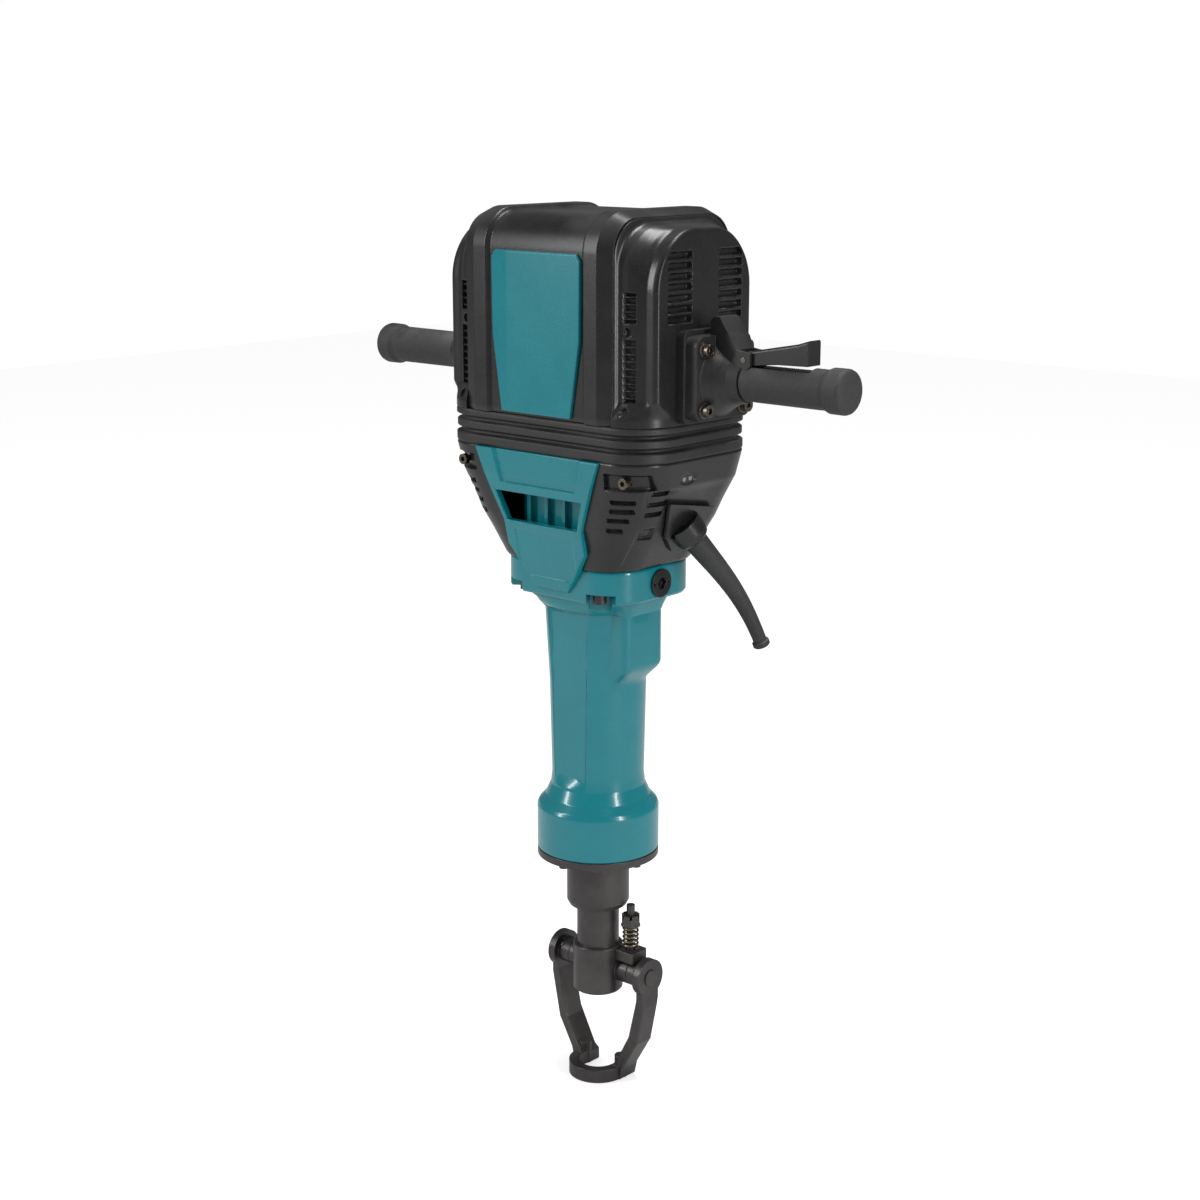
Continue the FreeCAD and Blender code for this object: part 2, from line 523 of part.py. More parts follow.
def main_castings():
    collar = round_rect_prism(COLLAR_X, COLLAR_Y, COLLAR_CORNER, COLLAR_BASE, COLLAR_TOP)
    taper = round_rect_loft([(432, 52, 52, 51.9), (COLLAR_BASE, 72, 58, 40)])
    barrel = turned_z([(0, FLANGE_TOP), (FLANGE_R, FLANGE_TOP), (FLANGE_R, 213), (FLANGE_R - 2, 217), (56, 225),
                       (BARREL_R + 1, 238), (BARREL_R, 250), (BARREL_R + 2, 350), (BARREL_R + 6, 425),
                       (BARREL_R + 8, COLLAR_BASE + 2), (0, COLLAR_BASE + 2)])
    flat_y = 44.0
    flat = prism_xz([(-22, 246), (22, 246), (26, 425), (-26, 425)], -80, -flat_y)
    barrel = cut(barrel, [flat])
    bulge = prism_xz([(30, 352), (60, 368), (66, 380), (66, COLLAR_BASE + 1), (30, COLLAR_BASE + 1)], -30, 30)
    bulge = bulge.makeFillet(5, [e for e in bulge.Edges if abs(e.tangentAt(e.FirstParameter).y) < 0.1
                                 and e.BoundBox.XMin > 35 and e.BoundBox.ZMin < 440])
    rib = box(-6, 6, 40, 62, 240, COLLAR_BASE + 1).common(cyl_z(57, 240, COLLAR_BASE + 1))
    body = fuse([collar, taper, barrel, bulge, rib])
    bores = [cyl_z(HOLDER_R, FLANGE_TOP - 1, HOLDER_TOP), cyl_z(CYL_OUT_R, HOLDER_TOP - 0.01, COLLAR_TOP + 1)]
    studs = [cyl_z(4 + SEAT, COLLAR_BASE - 30, COLLAR_TOP + 1, sx * STUD_X, sy * STUD_Y)
             for sx in (-1, 1) for sy in (-1, 1)]
    notch = box(STUD_X - NOTCH_HALF, STUD_X + NOTCH_HALF, STUD_Y, COLLAR_Y + 10, COLLAR_BASE - 30, BOLT_SEAT)
    heads = quad(fuse([notch, cyl_z(9, COLLAR_BASE - 30, BOLT_SEAT, STUD_X, STUD_Y)]))
    cap_seat = cyl_x(11, COLLAR_X - 12, COLLAR_X + 1, 0, OIL_Z)
    flange_holes = [cyl_z(3.2, FLANGE_TOP - 1, 186, 54 * math.cos(a), 54 * math.sin(a))
                    for a in (math.radians(45 * i) for i in range(8))]
    node("barrel_housing", cut(body, bores + studs + heads + [cap_seat] + flange_holes))

    cap = fuse([cyl_x(11, COLLAR_X - 12, COLLAR_X, 0, OIL_Z), cyl_x(OIL_R, COLLAR_X, COLLAR_X + 2.5, 0, OIL_Z)])
    key = prism_yz([(7 * math.cos(math.radians(60 * i)), OIL_Z + 7 * math.sin(math.radians(60 * i)))
                    for i in range(6)], COLLAR_X - 3, COLLAR_X + 3)
    holes = [cyl_x(1.6, COLLAR_X, COLLAR_X + 3, s * 11, OIL_Z) for s in (-1, 1)]
    node("oil_cap", cut(cap, [key] + holes))

    ring = cyl_z(FLANGE_R, FLANGE_BASE, FLANGE_TOP).cut(cyl_z(HOLDER_R, FLANGE_BASE - 1, FLANGE_TOP + 1))
    through = [cyl_z(3.2, FLANGE_BASE - 1, FLANGE_TOP + 1, 54 * math.cos(a), 54 * math.sin(a))
               for a in (math.radians(45 * i) for i in range(8))]
    node("front_flange", cut(ring, through))
    group("flange_bolts", [socket_screw(V(54 * math.cos(a), 54 * math.sin(a), FLANGE_BASE), V(0, 0, -1),
                                        3.2, 22, 5.2, 5.0, 5)
                           for a in (math.radians(45 * i) for i in range(8))])
    group("collar_bolts", [socket_screw(V(sx * STUD_X, sy * STUD_Y, BOLT_SEAT), V(0, 0, -1),
                                        4, 39, 7.0, BOLT_HEAD, 6)
                           for sx in (-1, 1) for sy in (-1, 1)])

    base = round_rect_prism(80, 62, 38, COLLAR_TOP, COLLAR_TOP + 14)
    block = round_rect_prism(69, 60, 14, COLLAR_TOP, 690, 13)
    deck = round_rect_prism(128, 80, 40, DECK_Z0, DECK_Z1)
    lobe = fuse([cyl_x(24, PLATE_X0, PLATE_X1, 0, MOTOR_Z), box(PLATE_X0, PLATE_X1, -42, 42, 660, MOTOR_Z - 8)])
    cradle = box(-70, PLATE_X0, -34, 34, 685, 712)
    ribs = [box(x - 2.5, x + 2.5, -66, -56, 500, 580) for x in (-36, -12, 12, 36)]
    case = fuse([base, block, deck, lobe, cradle] + ribs)
    gear_case = gear_case_solid(0)
    piston_reach = CRANK_Z + CRANK_THROW - ROD_LENGTH + PISTON_CROWN + 4
    tools = [box(-44, WEB_X0, -48, 48, COLLAR_TOP + 14, 682),
             box(WEB_X1, PLATE_X0, -48, 48, COLLAR_TOP + 30, 682),
             cyl_z(CYL_OUT_R, COLLAR_TOP - 1, CYL_TOP), cyl_z(CYL_BORE_R + 1, CYL_TOP - 1, piston_reach),
             cyl_x(MOTOR_R, -120, PLATE_X0, 0, MOTOR_Z),
             cyl_x(ARM_BEARING_R, PLATE_X0 - 1, PLATE_X1 + 1, 0, MOTOR_Z),
             cyl_x(LAY_BEARING_R, PLATE_X0 - 20, PLATE_X1 + 1, 0, LAY_Z),
             cyl_x(CRANK_BEARING_R, WEB_X0 + 2, PLATE_X1 + 1, 0, CRANK_Z),
             cyl_x(CRANK_SHAFT_R + 4, WEB_X0 - 1, WEB_X0 + 3, 0, CRANK_Z), gear_case]
    studs = [cyl_z(4, COLLAR_TOP - 1, COLLAR_BASE + 50.5, sx * STUD_X, sy * STUD_Y)
             for sx in (-1, 1) for sy in (-1, 1)]
    notches = [box(COVER_BOLT_X - 26, COVER_BOLT_X + 22, -95, -70, COVER_BOLT_Z - 11, DECK_Z1 + 1)]
    notches.append(mirror_x(notches[0]))
    outside = box(-200, 200, -150, 150, COLLAR_TOP, DECK_Z0 - 2).cut(round_rect_loft(LOWER, WALL))
    node("crank_case", cut(case, tools + studs + notches + [outside]))


def gear_case_solid(inset):
    """Outline of the gear cover; inset shrinks it to its own hollow."""
    low = cyl_x(58.5 - inset, PLATE_X1, SLOW_X1 + 6 - inset, 0, CRANK_Z)
    mid = cyl_x(52.5 - inset, PLATE_X1, COVER_X1 - inset, 0, LAY_Z)
    high = cyl_x(20 - inset, PLATE_X1, COVER_X1 - inset, 0, MOTOR_Z)
    return fuse([low, mid, high])


def gear_cover():
    boss = cyl_x(LAY_BEARING_R + 4, COVER_X1 - 4, COVER_X1 + 5, 0, LAY_Z)
    shell = fuse([gear_case_solid(0), boss])
    hollow = gear_case_solid(4)
    pocket = cyl_x(LAY_BEARING_R, COVER_X1 - 4, COVER_X1 + 3, 0, LAY_Z)
    node("gear_cover", cut(shell, [hollow, pocket]))


# ---- lower covers, boot and teal front cover --------------------------------------------------------
LOWER = [(COLLAR_TOP, 88, 69.5, 42), (513, 103, 76, 43), (532, 113, 82, 44), (550, 121, 85, 45),
         (575, 134, 89, 46), (BOOT_BASE, 140, 92, 46)]
FRONT_OUTLINE = [(-84, 601.5), (84, 601.5), (65, 559), (53, 528), (52, 502), (30, 466), (22, 458),
                 (-22, 458), (-30, 466), (-52, 502), (-53, 528), (-65, 559)]
GAP_TOP_X = 59.0          # half width of the finger gap at its top
GAP_LOW_X = 48.0
GAP_Z0 = 528.0
GAP_Z1 = 558.0
REAR_X = 52.0


COVER_BOLT_X = 110.0
COVER_BOLT_Z = 583.5
COVER_BOLT_Y = -82.0      # seat of the lower cover bolts
FRONT_SLOTS = [(93, 115, 563), (90.5, 111, 553.5), (86, 104.5, 543.5), (83, 97, 532.5)]
SIDE_SLOTS = [(-62, -43, 571.5), (-61, -36, 560), (-59, -38.5, 549)]
SLOT_HALF = 2.0
LAMP_X = 135.5
LAMP_Y = -18.0
LAMP_Z = 583.0
LAMP_PITCH = 4.6          # half the distance between the two lamps


def lower_covers():
    shell = cut(round_rect_loft(LOWER), [round_rect_loft(LOWER, WALL)])
    outline = prism_xz(FRONT_OUTLINE, -110, -50)
    strip = box(-REAR_X, REAR_X, 50, 110, COLLAR_TOP, BOOT_BASE)
    side = cut(shell, [outline, strip, box(-200, 0, -120, 120, 400, 700)])
    slots = [box(x0, x1, -100, -66, z - SLOT_HALF, z + SLOT_HALF) for x0, x1, z in FRONT_SLOTS]
    slots += [box(104, 140, y0, y1, z - SLOT_HALF, z + SLOT_HALF) for y0, y1, z in SIDE_SLOTS]
    side = cut(side, slots)
    pocket_r = 7.5
    half = 13.5
    boss = box(COVER_BOLT_X - 24, COVER_BOLT_X + 20, -86, -72, COVER_BOLT_Z - 10, COVER_BOLT_Z + 10)
    boss = boss.common(round_rect_loft(LOWER, 1))
    pocket = fuse([cyl_y(pocket_r, -100, COVER_BOLT_Y, COVER_BOLT_X + s * half, COVER_BOLT_Z) for s in (-1, 1)]
                  + [box(COVER_BOLT_X - half, COVER_BOLT_X + half, -100, COVER_BOLT_Y,
                         COVER_BOLT_Z - pocket_r, COVER_BOLT_Z + pocket_r)])
    shank = cyl_y(3.2, -100, -60, COVER_BOLT_X, COVER_BOLT_Z)
    side = cut(fuse([side, boss]), [pocket, shank])
    dimple_p = V(111.5, -47.5, 527.0)
    dimple_d = V(0.92, -0.28, -0.28)
    side = cut(side, [rod(dimple_p - dimple_d * 3.4, dimple_d, 5.5, 20)])
    left = mirror_x(side)
    lamp_dish = lamp_prism(LAMP_X - 2, LAMP_X + 8, 1)
    lamp_holes = [cyl_x(2.6, LAMP_X - 12, LAMP_X + 8, LAMP_Y + s * LAMP_PITCH, LAMP_Z) for s in (-1, 1)]
    right = cut(side, [lamp_dish] + lamp_holes + cord_cut_tools())
    node("lower_left_cover", left)
    node("lower_right_cover", right)
    rear = shell.common(strip)
    rear_slots = [box(-36, 36, 60, 110, z - SLOT_HALF, z + SLOT_HALF) for z in (570, 561, 552, 543)]
    node("lower_rear_cover", cut(rear, rear_slots))
    lamps = [cyl_x(2.6, LAMP_X - 6, LAMP_X - 1.2, LAMP_Y + s * LAMP_PITCH, LAMP_Z) for s in (-1, 1)]
    group("indicator_lamps", lamps)
    screws = [socket_screw(V(s * COVER_BOLT_X, COVER_BOLT_Y, COVER_BOLT_Z), V(0, -1, 0), 3.2, 12, 5.5, 5.5, 5)
              for s in (-1, 1)]
    group("lower_cover_bolts", screws)


def lamp_prism(x0, x1, grow):
    """Round-ended window round the two lamps."""
    r = 4.5 + grow
    half = LAMP_PITCH + 2.5
    ends = [cyl_x(r, x0, x1, LAMP_Y + s * half, LAMP_Z) for s in (-1, 1)]
    return fuse(ends + [box(x0, x1, LAMP_Y - half, LAMP_Y + half, LAMP_Z - r, LAMP_Z + r)])


def front_cover_teal():
    side = [(-95, 601.5), (-93.5, 575), (-91, 558), (-86, 528), (-80, 500), (-73, 466), (-71, 458),
            (-COLLAR_Y, 458), (-COLLAR_Y, 488), (-78, 528), (-84, 558), (-87, 601.5)]
    cover = prism_xz(FRONT_OUTLINE, -110, -50).common(prism_yz(side, -100, 100))
    gap_outline = [(-GAP_TOP_X, GAP_Z1), (GAP_TOP_X, GAP_Z1), (GAP_LOW_X, GAP_Z0), (-GAP_LOW_X, GAP_Z0)]
    gap = prism_xz(gap_outline, -110, -50)
    recess = prism_xz([(-62, 611), (62, 611), (50, 568), (-50, 568)], -110, -50)
    recess = recess.common(prism_yz([(-110, 620), (-92.6, 620), (-89.2, 560), (-110, 560)], -100, 100))
    cover = cut(cover, [gap, recess])
    node("front_grip_cover", cover)


BOOT_BANDS = [(602, 613, 0), (613, 617, 8), (617, 626, 1), (626, 630, 8), (630, 638 - SOFT_GAP, 0)]


def rubber_boot():
    bands = [round_rect_prism(140 - d, 92 - d, 46 - d, z0, z1) for z0, z1, d in BOOT_BANDS]
    boot = fuse(bands).cut(round_rect_prism(129, 81, 35, BOOT_BASE - 1, HOOD_BASE + 1))
    node("bellows", boot)


# ---- cord guard and clamp ---------------------------------------------------------------------------
GUARD = [((114, 8, 524), 12.8), ((118, 14, 515), 12.5), ((127.5, 33, 489), 11.0), ((137, 57, 457), 9.2),
         ((144.5, 76, 423), 7.6), ((149, 87, 398), 7.0)]
CORD_R = 4.5
SHIELD = [(-37, 559), (38.7, 545.4), (36, 522), (27, 506), (14, 498), (-2, 503), (-22, 521)]
SHIELD_RISE = 4.0         # how far the clamp's shield stands off the cover


def guard_wires(points, radii):
    """One circle at each point, square to the run of the points."""
    wires = []
    for i, r in enumerate(radii):
        a = points[max(0, i - 1)]
        b = points[min(len(points) - 1, i + 1)]
        if i == len(radii) - 1:
            a = points[i]
            b = points[i] * 2 - points[i - 1] if i == len(points) - 1 else points[i + 1]
        wires.append(Part.Wire(Part.makeCircle(r, points[i], b - a)))
    return wires


def guard_root():
    p = V(*GUARD[1][0])
    d = V(*GUARD[2][0]) - V(*GUARD[0][0])
    return p, d.normalize()


def cord_cut_tools():
    p, d = guard_root()
    return [rod(p - d * 30, d, 17.0, 60)]


def cord_parts():
    points = [V(*p) for p, r in GUARD]
    radii = [r for p, r in GUARD]
    tip = points[-1]
    last_bend = points[-2]
    tip_d = (tip - last_bend).normalize()
    body = Part.makeLoft(guard_wires(points, radii), True, False)
    flange = rod(tip - tip_d * 3, tip_d, 9.0, 6)
    bend_bore = Part.makeLoft(guard_wires(points, [CORD_R + SEAT] * (len(points) - 1)), True, False)
    end_bore = rod(last_bend, tip_d, CORD_R, (tip - last_bend).Length + 10)
    guard = cut(fuse([body, flange]), [bend_bore, end_bore])
    start = points[0]
    start_d = (points[1] - points[0]).normalize()
    collar = rod(start - start_d * 5, start_d, 16.0, 6)
    collar = cut(collar, [rod(start - start_d * 6, start_d, CORD_R + SEAT, 9)])
    guard = fuse([guard, collar])
    node("cord_guard", guard)

    p, d = guard_root()
    housing = round_rect_loft(LOWER)
    shield = prism_yz(SHIELD, 60, 160).common(round_rect_loft(LOWER, -SHIELD_RISE))
    dome = turned_z([(0, -22), (19, -22), (18.5, -8), (17, -2), (15, 0), (0, 0)])
    dome.Placement = FreeCAD.Placement(p, FreeCAD.Rotation(Z_AXIS, d))
    clamp = fuse([shield.cut(housing), dome.cut(housing)])
    screw_holes = [rod(V(90, y, z), V(0.92, 0.05, -0.38), 3.2, 60) for y, z in ((-12, 530), (33, 532))]
    seats = [hole.common(round_rect_loft(LOWER, -SHIELD_RISE - 4).cut(round_rect_loft(LOWER, -SHIELD_RISE + 2)))
             for hole in screw_holes]
    cavity = rod(start - start_d * 5.5, start_d, 16.0 + SEAT, 7)
    passage = rod(p - d * 12, d, 12.8 + SEAT, 16)
    cord_way = rod(start - start_d * 40, start_d, CORD_R + SEAT, 36)
    clamp = cut(clamp, [cavity, passage, cord_way, guard] + seats)
    node("cord_clamp", max(clamp.Solids, key=lambda s: s.Volume))


# ---- hood -------------------------------------------------------------------------------------------
SLAB_X = 99.0
BAND_X = 83.0
CHANNEL_X = 64.0
HOOD_Y = 95.0
PAD_Y = 72.0
PAD_Z0 = 652.0
PAD_TOP = HOOD_TOP - 15
BELOW_HOOD = HOOD_BASE - 38      # limits of the cutting boxes round the hood
ABOVE_HOOD = HOOD_TOP + 58


def arch_wire(x, half_y, z0, z1, r):
    """Wire in a plane of constant x: flat sides and base, top corners of radius r."""
    a = V(x, -half_y, z0)
    b = V(x, -half_y, z1 - r)
    c = V(x, -half_y + r, z1)
    d = V(x, half_y - r, z1)
    e = V(x, half_y, z1 - r)
    f = V(x, half_y, z0)
    k = r * (1 - math.sqrt(0.5))
    left = Part.Arc(b, V(x, -half_y + k, z1 - k), c).toShape()
    right = Part.Arc(d, V(x, half_y - k, z1 - k), e).toShape()
    return Part.Wire([Part.makeLine(a, b), left, Part.makeLine(c, d), right,
                      Part.makeLine(e, f), Part.makeLine(f, a)])


def arch_loft(stations, inset, z0):
    wires = [arch_wire(x, hy - inset, z0, top - inset, r - inset) for x, hy, top, r in stations]
    return Part.makeLoft(wires, True, True)


def hood_body(inset, z0):
    """Hood envelope; inset offsets every wall inwards by the same amount."""
    slab = arch_loft([(-SLAB_X - 2 + inset, 88, HOOD_TOP - 7, 38), (-BAND_X, HOOD_Y, HOOD_TOP, 40),
                      (BAND_X, HOOD_Y, HOOD_TOP, 40), (SLAB_X + 2 - inset, 88, HOOD_TOP - 7, 38)], inset, z0)
    parts = [slab]
    for s in (-1, 1):
        stations = [(s * (SLAB_X - 10), 83, HOOD_TOP - 12, 42), (s * (SLAB_X + 12), 80, HOOD_TOP - 14, 44),
                    (s * (PAD_X - 5 - inset), 66, HOOD_TOP - 20, 52)]
        if s < 0:
            stations.reverse()
        parts.append(arch_loft(stations, inset, z0))
        stations = [(s * (PAD_X - 30), PAD_Y, PAD_TOP, 60), (s * (PAD_X - 3 - inset), PAD_Y, PAD_TOP, 60),
                    (s * (PAD_X - inset), PAD_Y - 3, PAD_TOP - 3, 57)]
        if s < 0:
            stations.reverse()
        parts.append(arch_loft(stations, inset, z0 if inset else PAD_Z0 - 8))
    rim_top = 655 - inset
    parts.append(round_rect_prism(PAD_X - inset, 92 - inset, 46 - inset, z0, rim_top))
    return fuse(parts)


WINDOWS = [(738, 766), (662, 722)]
SCREW_OUT = V(0.38, -0.92, 0)
HOOD_SCREWS = [(106, -81, 729), (106, -81, 652)]
SLOT_Z = [PAD_TOP - drop for drop in (26, 36, 46, 56, 66.5, 77, 87)]
BOLT_Y = 30.0
BOLT_Z = (654.0, 712.0)


def hood_covers():
    shell = hood_body(0, HOOD_BASE).cut(hood_body(WALL, HOOD_BASE - 10))
    channel = arch_loft([(s * CHANNEL_X, HOOD_Y + 20, HOOD_TOP + 20, 40) for s in (-1, 1)], 0, HOOD_BASE - 5)
    keep = arch_loft([(s * (CHANNEL_X + 1), HOOD_Y - 2.5, HOOD_TOP - 2.5, 38) for s in (-1, 1)],
                     0, HOOD_BASE - 6)
    shell = cut(shell, [channel.cut(keep)])
    middle = shell.common(box(-SLAB_X, SLAB_X, -120, 120, BELOW_HOOD, ABOVE_HOOD))
    top_screw = V(0, -69, HOOD_TOP - 20)
    out = V(0, -0.7, 0.72)
    screw_bore = rod(top_screw - out * 8, out, 3.5, 20)
    front = cut(middle, [box(-200, 200, 0, 200, BELOW_HOOD, ABOVE_HOOD), screw_bore])
    rear = cut(middle, [box(-200, 200, -200, 0, BELOW_HOOD, ABOVE_HOOD), mirror_y(screw_bore)])
    node("front_cover", front)
    node("rear_cover", rear)
    screws = [socket_screw(top_screw - out * 3, out, 2.2, 6, 3.5, 2.5, 3)]
    screws.append(mirror_y(screws[0]))

    right = cut(shell, [box(-300, SLAB_X, -120, 120, BELOW_HOOD, ABOVE_HOOD)])
    pad_slots = [box(PAD_X - 12, PAD_X + 2, min(s * 21, s * 56), max(s * 21, s * 56), z - 3, z + 3)
                 for z in SLOT_Z for s in (-1, 1)]
    windows = []
    for z0, z1 in WINDOWS:
        window = box(102, 117, -100, -50, z0, z1)
        windows += [window, mirror_y(window)]
    bolts = [cyl_x(4 + SEAT, PAD_X - 20, PAD_X + 40, s * BOLT_Y, z) for s in (-1, 1) for z in BOLT_Z]
    screw_bores = []
    for x, y, z in HOOD_SCREWS:
        bore = rod(V(x, y, z) - SCREW_OUT * 6, SCREW_OUT, 3.2, 20)
        screw_bores += [bore, mirror_y(bore)]
        screw = socket_screw(V(x, y, z) - SCREW_OUT * 3, SCREW_OUT, 2.2, 6, 3.2, 2.5, 3)
        screws += quad(screw)
    right = cut(right, pad_slots + windows + bolts + screw_bores)
    node("right_side_cover", right)
    node("left_side_cover", mirror_x(right))
    group("hood_screws", screws)

    fins = []
    for z0, z1 in WINDOWS:
        count = int((z1 - z0) / 7)
        for i in range(count):
            z = z0 + (z1 - z0) * (i + 0.5) / count
            fins.append(prism_yz([(-72, z - 3), (-72, z - 1.4), (-66, z + 3.4), (-66, z + 1.8)], 101, 118))
    carrier = box(100, 119, -66, -64, 655, 772)
    fins_right = fuse([carrier] + fins)
    outside = box(90, 130, -200, -60, BELOW_HOOD, ABOVE_HOOD).cut(hood_body(WALL, HOOD_BASE - 10))
    fins_right = fins_right.cut(outside)
    group("vent_louvres", quad(fins_right))

    badge = prism_xz([(-47, 641), (47, 641), (60, 718), (61, 794),
                      (55, 801), (-55, 801), (-61, 794), (-60, 718)], -HOOD_Y, -HOOD_Y + 2.5)
    facet = prism_xy([(-70, -HOOD_Y - 1), (-38, -HOOD_Y - 1), (-38, -HOOD_Y), (-70, -HOOD_Y + 1.6)], 630, 810)
    node("badge_plate", badge.cut(facet))

    plate = box(PAD_X - 12, PAD_X - WALL, -45, 45, 648, 728)
    ledges = [box(104, PAD_X - 10, min(s * 37, s * 62), max(s * 37, s * 62), 650, 658) for s in (-1, 1)]
    frame = cut(fuse([plate] + ledges), bolts)
    frame = frame.common(hood_body(WALL, HOOD_BASE))
    group("hood_frame", [frame, mirror_x(frame)])

    seat = (115.0, 49.5)
    springs = [spring(9.4, 1.6, DECK_Z1, 650 - SOFT_GAP, 7, sx * seat[0], sy * seat[1])
               for sx in (-1, 1) for sy in (-1, 1)]
    group("damper_springs", springs)


# ---- handles ----------------------------------------------------------------------------------------
def handles():
    pad = round_rect_prism(45, 44, 8, 0, 10)
    pad.Placement = FreeCAD.Placement(V(PAD_X, 0, 685), FreeCAD.Rotation(Y_AXIS, 90))
    plate = round_rect_prism(41, 42, 10, 0, 15)
    plate.Placement = FreeCAD.Placement(V(PAD_X + 9, 0, 684), FreeCAD.Rotation(Y_AXIS, 90))
    tip = HANDLE_SPAN / 2
    neck = turned_x([(150, 0), (150, 38), (164, 36), (170, 31), (176, 27), (184, 23.5), (GRIP_X0, 21),
                     (GRIP_X0, CORE_R), (tip - 14, CORE_R), (tip - 14, 0)], 0, HANDLE_Z)
    neck = neck.common(box(0, 400, -40, 40, 600, 724))
    holes = [cyl_x(4 + SEAT, PAD_X - 20, PAD_X + 40, s * BOLT_Y, z) for s in (-1, 1) for z in BOLT_Z]
    spots = [cyl_x(8.5, SPOT_X, 190, s * BOLT_Y, z) for s in (-1, 1) for z in BOLT_Z]
    bracket = cut(fuse([pad, plate, neck]), holes + spots)
    node("left_handle_bracket", mirror_x(bracket))

    fin = prism_xz([(158, 690), (158, 739), (162, 743), (169, 743),
                    (190, 713), (206, 711), (206, 698), (196, 690)], -14, 14)
    trough = box(190, LEVER_TIP_X + 3, -10 - SLIDE * 2, 10 + SLIDE * 2, 690, 760)
    pin_bore = cyl_y(LEVER_PIN_R, -20, 20, LEVER_X, LEVER_Z)
    pocket = box(228, 258, -8, 8, 671, 691)
    right = cut(fuse([bracket, fin]), [trough, pin_bore, pocket])
    right = cut(right, spots)
    node("right_handle_bracket", right)
    group("handle_bolts", [s2 for z in BOLT_Z for y in (-BOLT_Y, BOLT_Y)
                           for s2 in (handle_bolt(y, z), mirror_x(handle_bolt(y, z)))])

    grip = turned_x([(GRIP_X0, CORE_R), (GRIP_X0, GRIP_R - 1), (GRIP_X0 + 1, GRIP_R), (tip - 24, GRIP_R),
                     (tip - 20, KNOB_R - 1), (tip - 17, KNOB_R), (tip - 5, KNOB_R), (tip - 1.5, KNOB_R - 2.5),
                     (tip, KNOB_R - 7), (tip, 0), (tip - 14, 0), (tip - 14, CORE_R)], 0, HANDLE_Z)
    node("left_grip", mirror_x(grip))
    cheeks = box(190, 207, -14.3, 14.3, 690, 760)
    node("right_grip", cut(grip, [trough, cheeks, box(228, 258, -8, 8, 671, 691)]))

    lever = prism_xz([(193, 700), (193, 708), (200, 712), (258, 723), (LEVER_TIP_X, 727), (LEVER_TIP_X, 703),
                      (236, 702), (205, 699)], -10, 10)
    lever = lever.makeFillet(2.5, [e for e in lever.Edges if abs(e.tangentAt(e.FirstParameter).y) < 0.1
                                   and e.BoundBox.ZMax > 709 and e.BoundBox.ZMin > 705])
    node("switch_lever", cut(lever, [cyl_y(LEVER_PIN_R + RUN, -20, 20, LEVER_X, LEVER_Z)]))
    node("lever_pin", cyl_y(LEVER_PIN_R, -14.5, 14.5, LEVER_X, LEVER_Z))
    switch = fuse([box(229, 257, -7.5, 7.5, 671, 687), cyl_z(3, 686, 690, 244)])
    node("switch_unit", switch)


def handle_bolt(y, z):
    washer = cyl_x(8.2, SPOT_X, SPOT_X + 2, y, z)
    return fuse([socket_screw(V(SPOT_X + 2, y, z), X_AXIS, 4, 38, 6.5, 7, 6), washer])


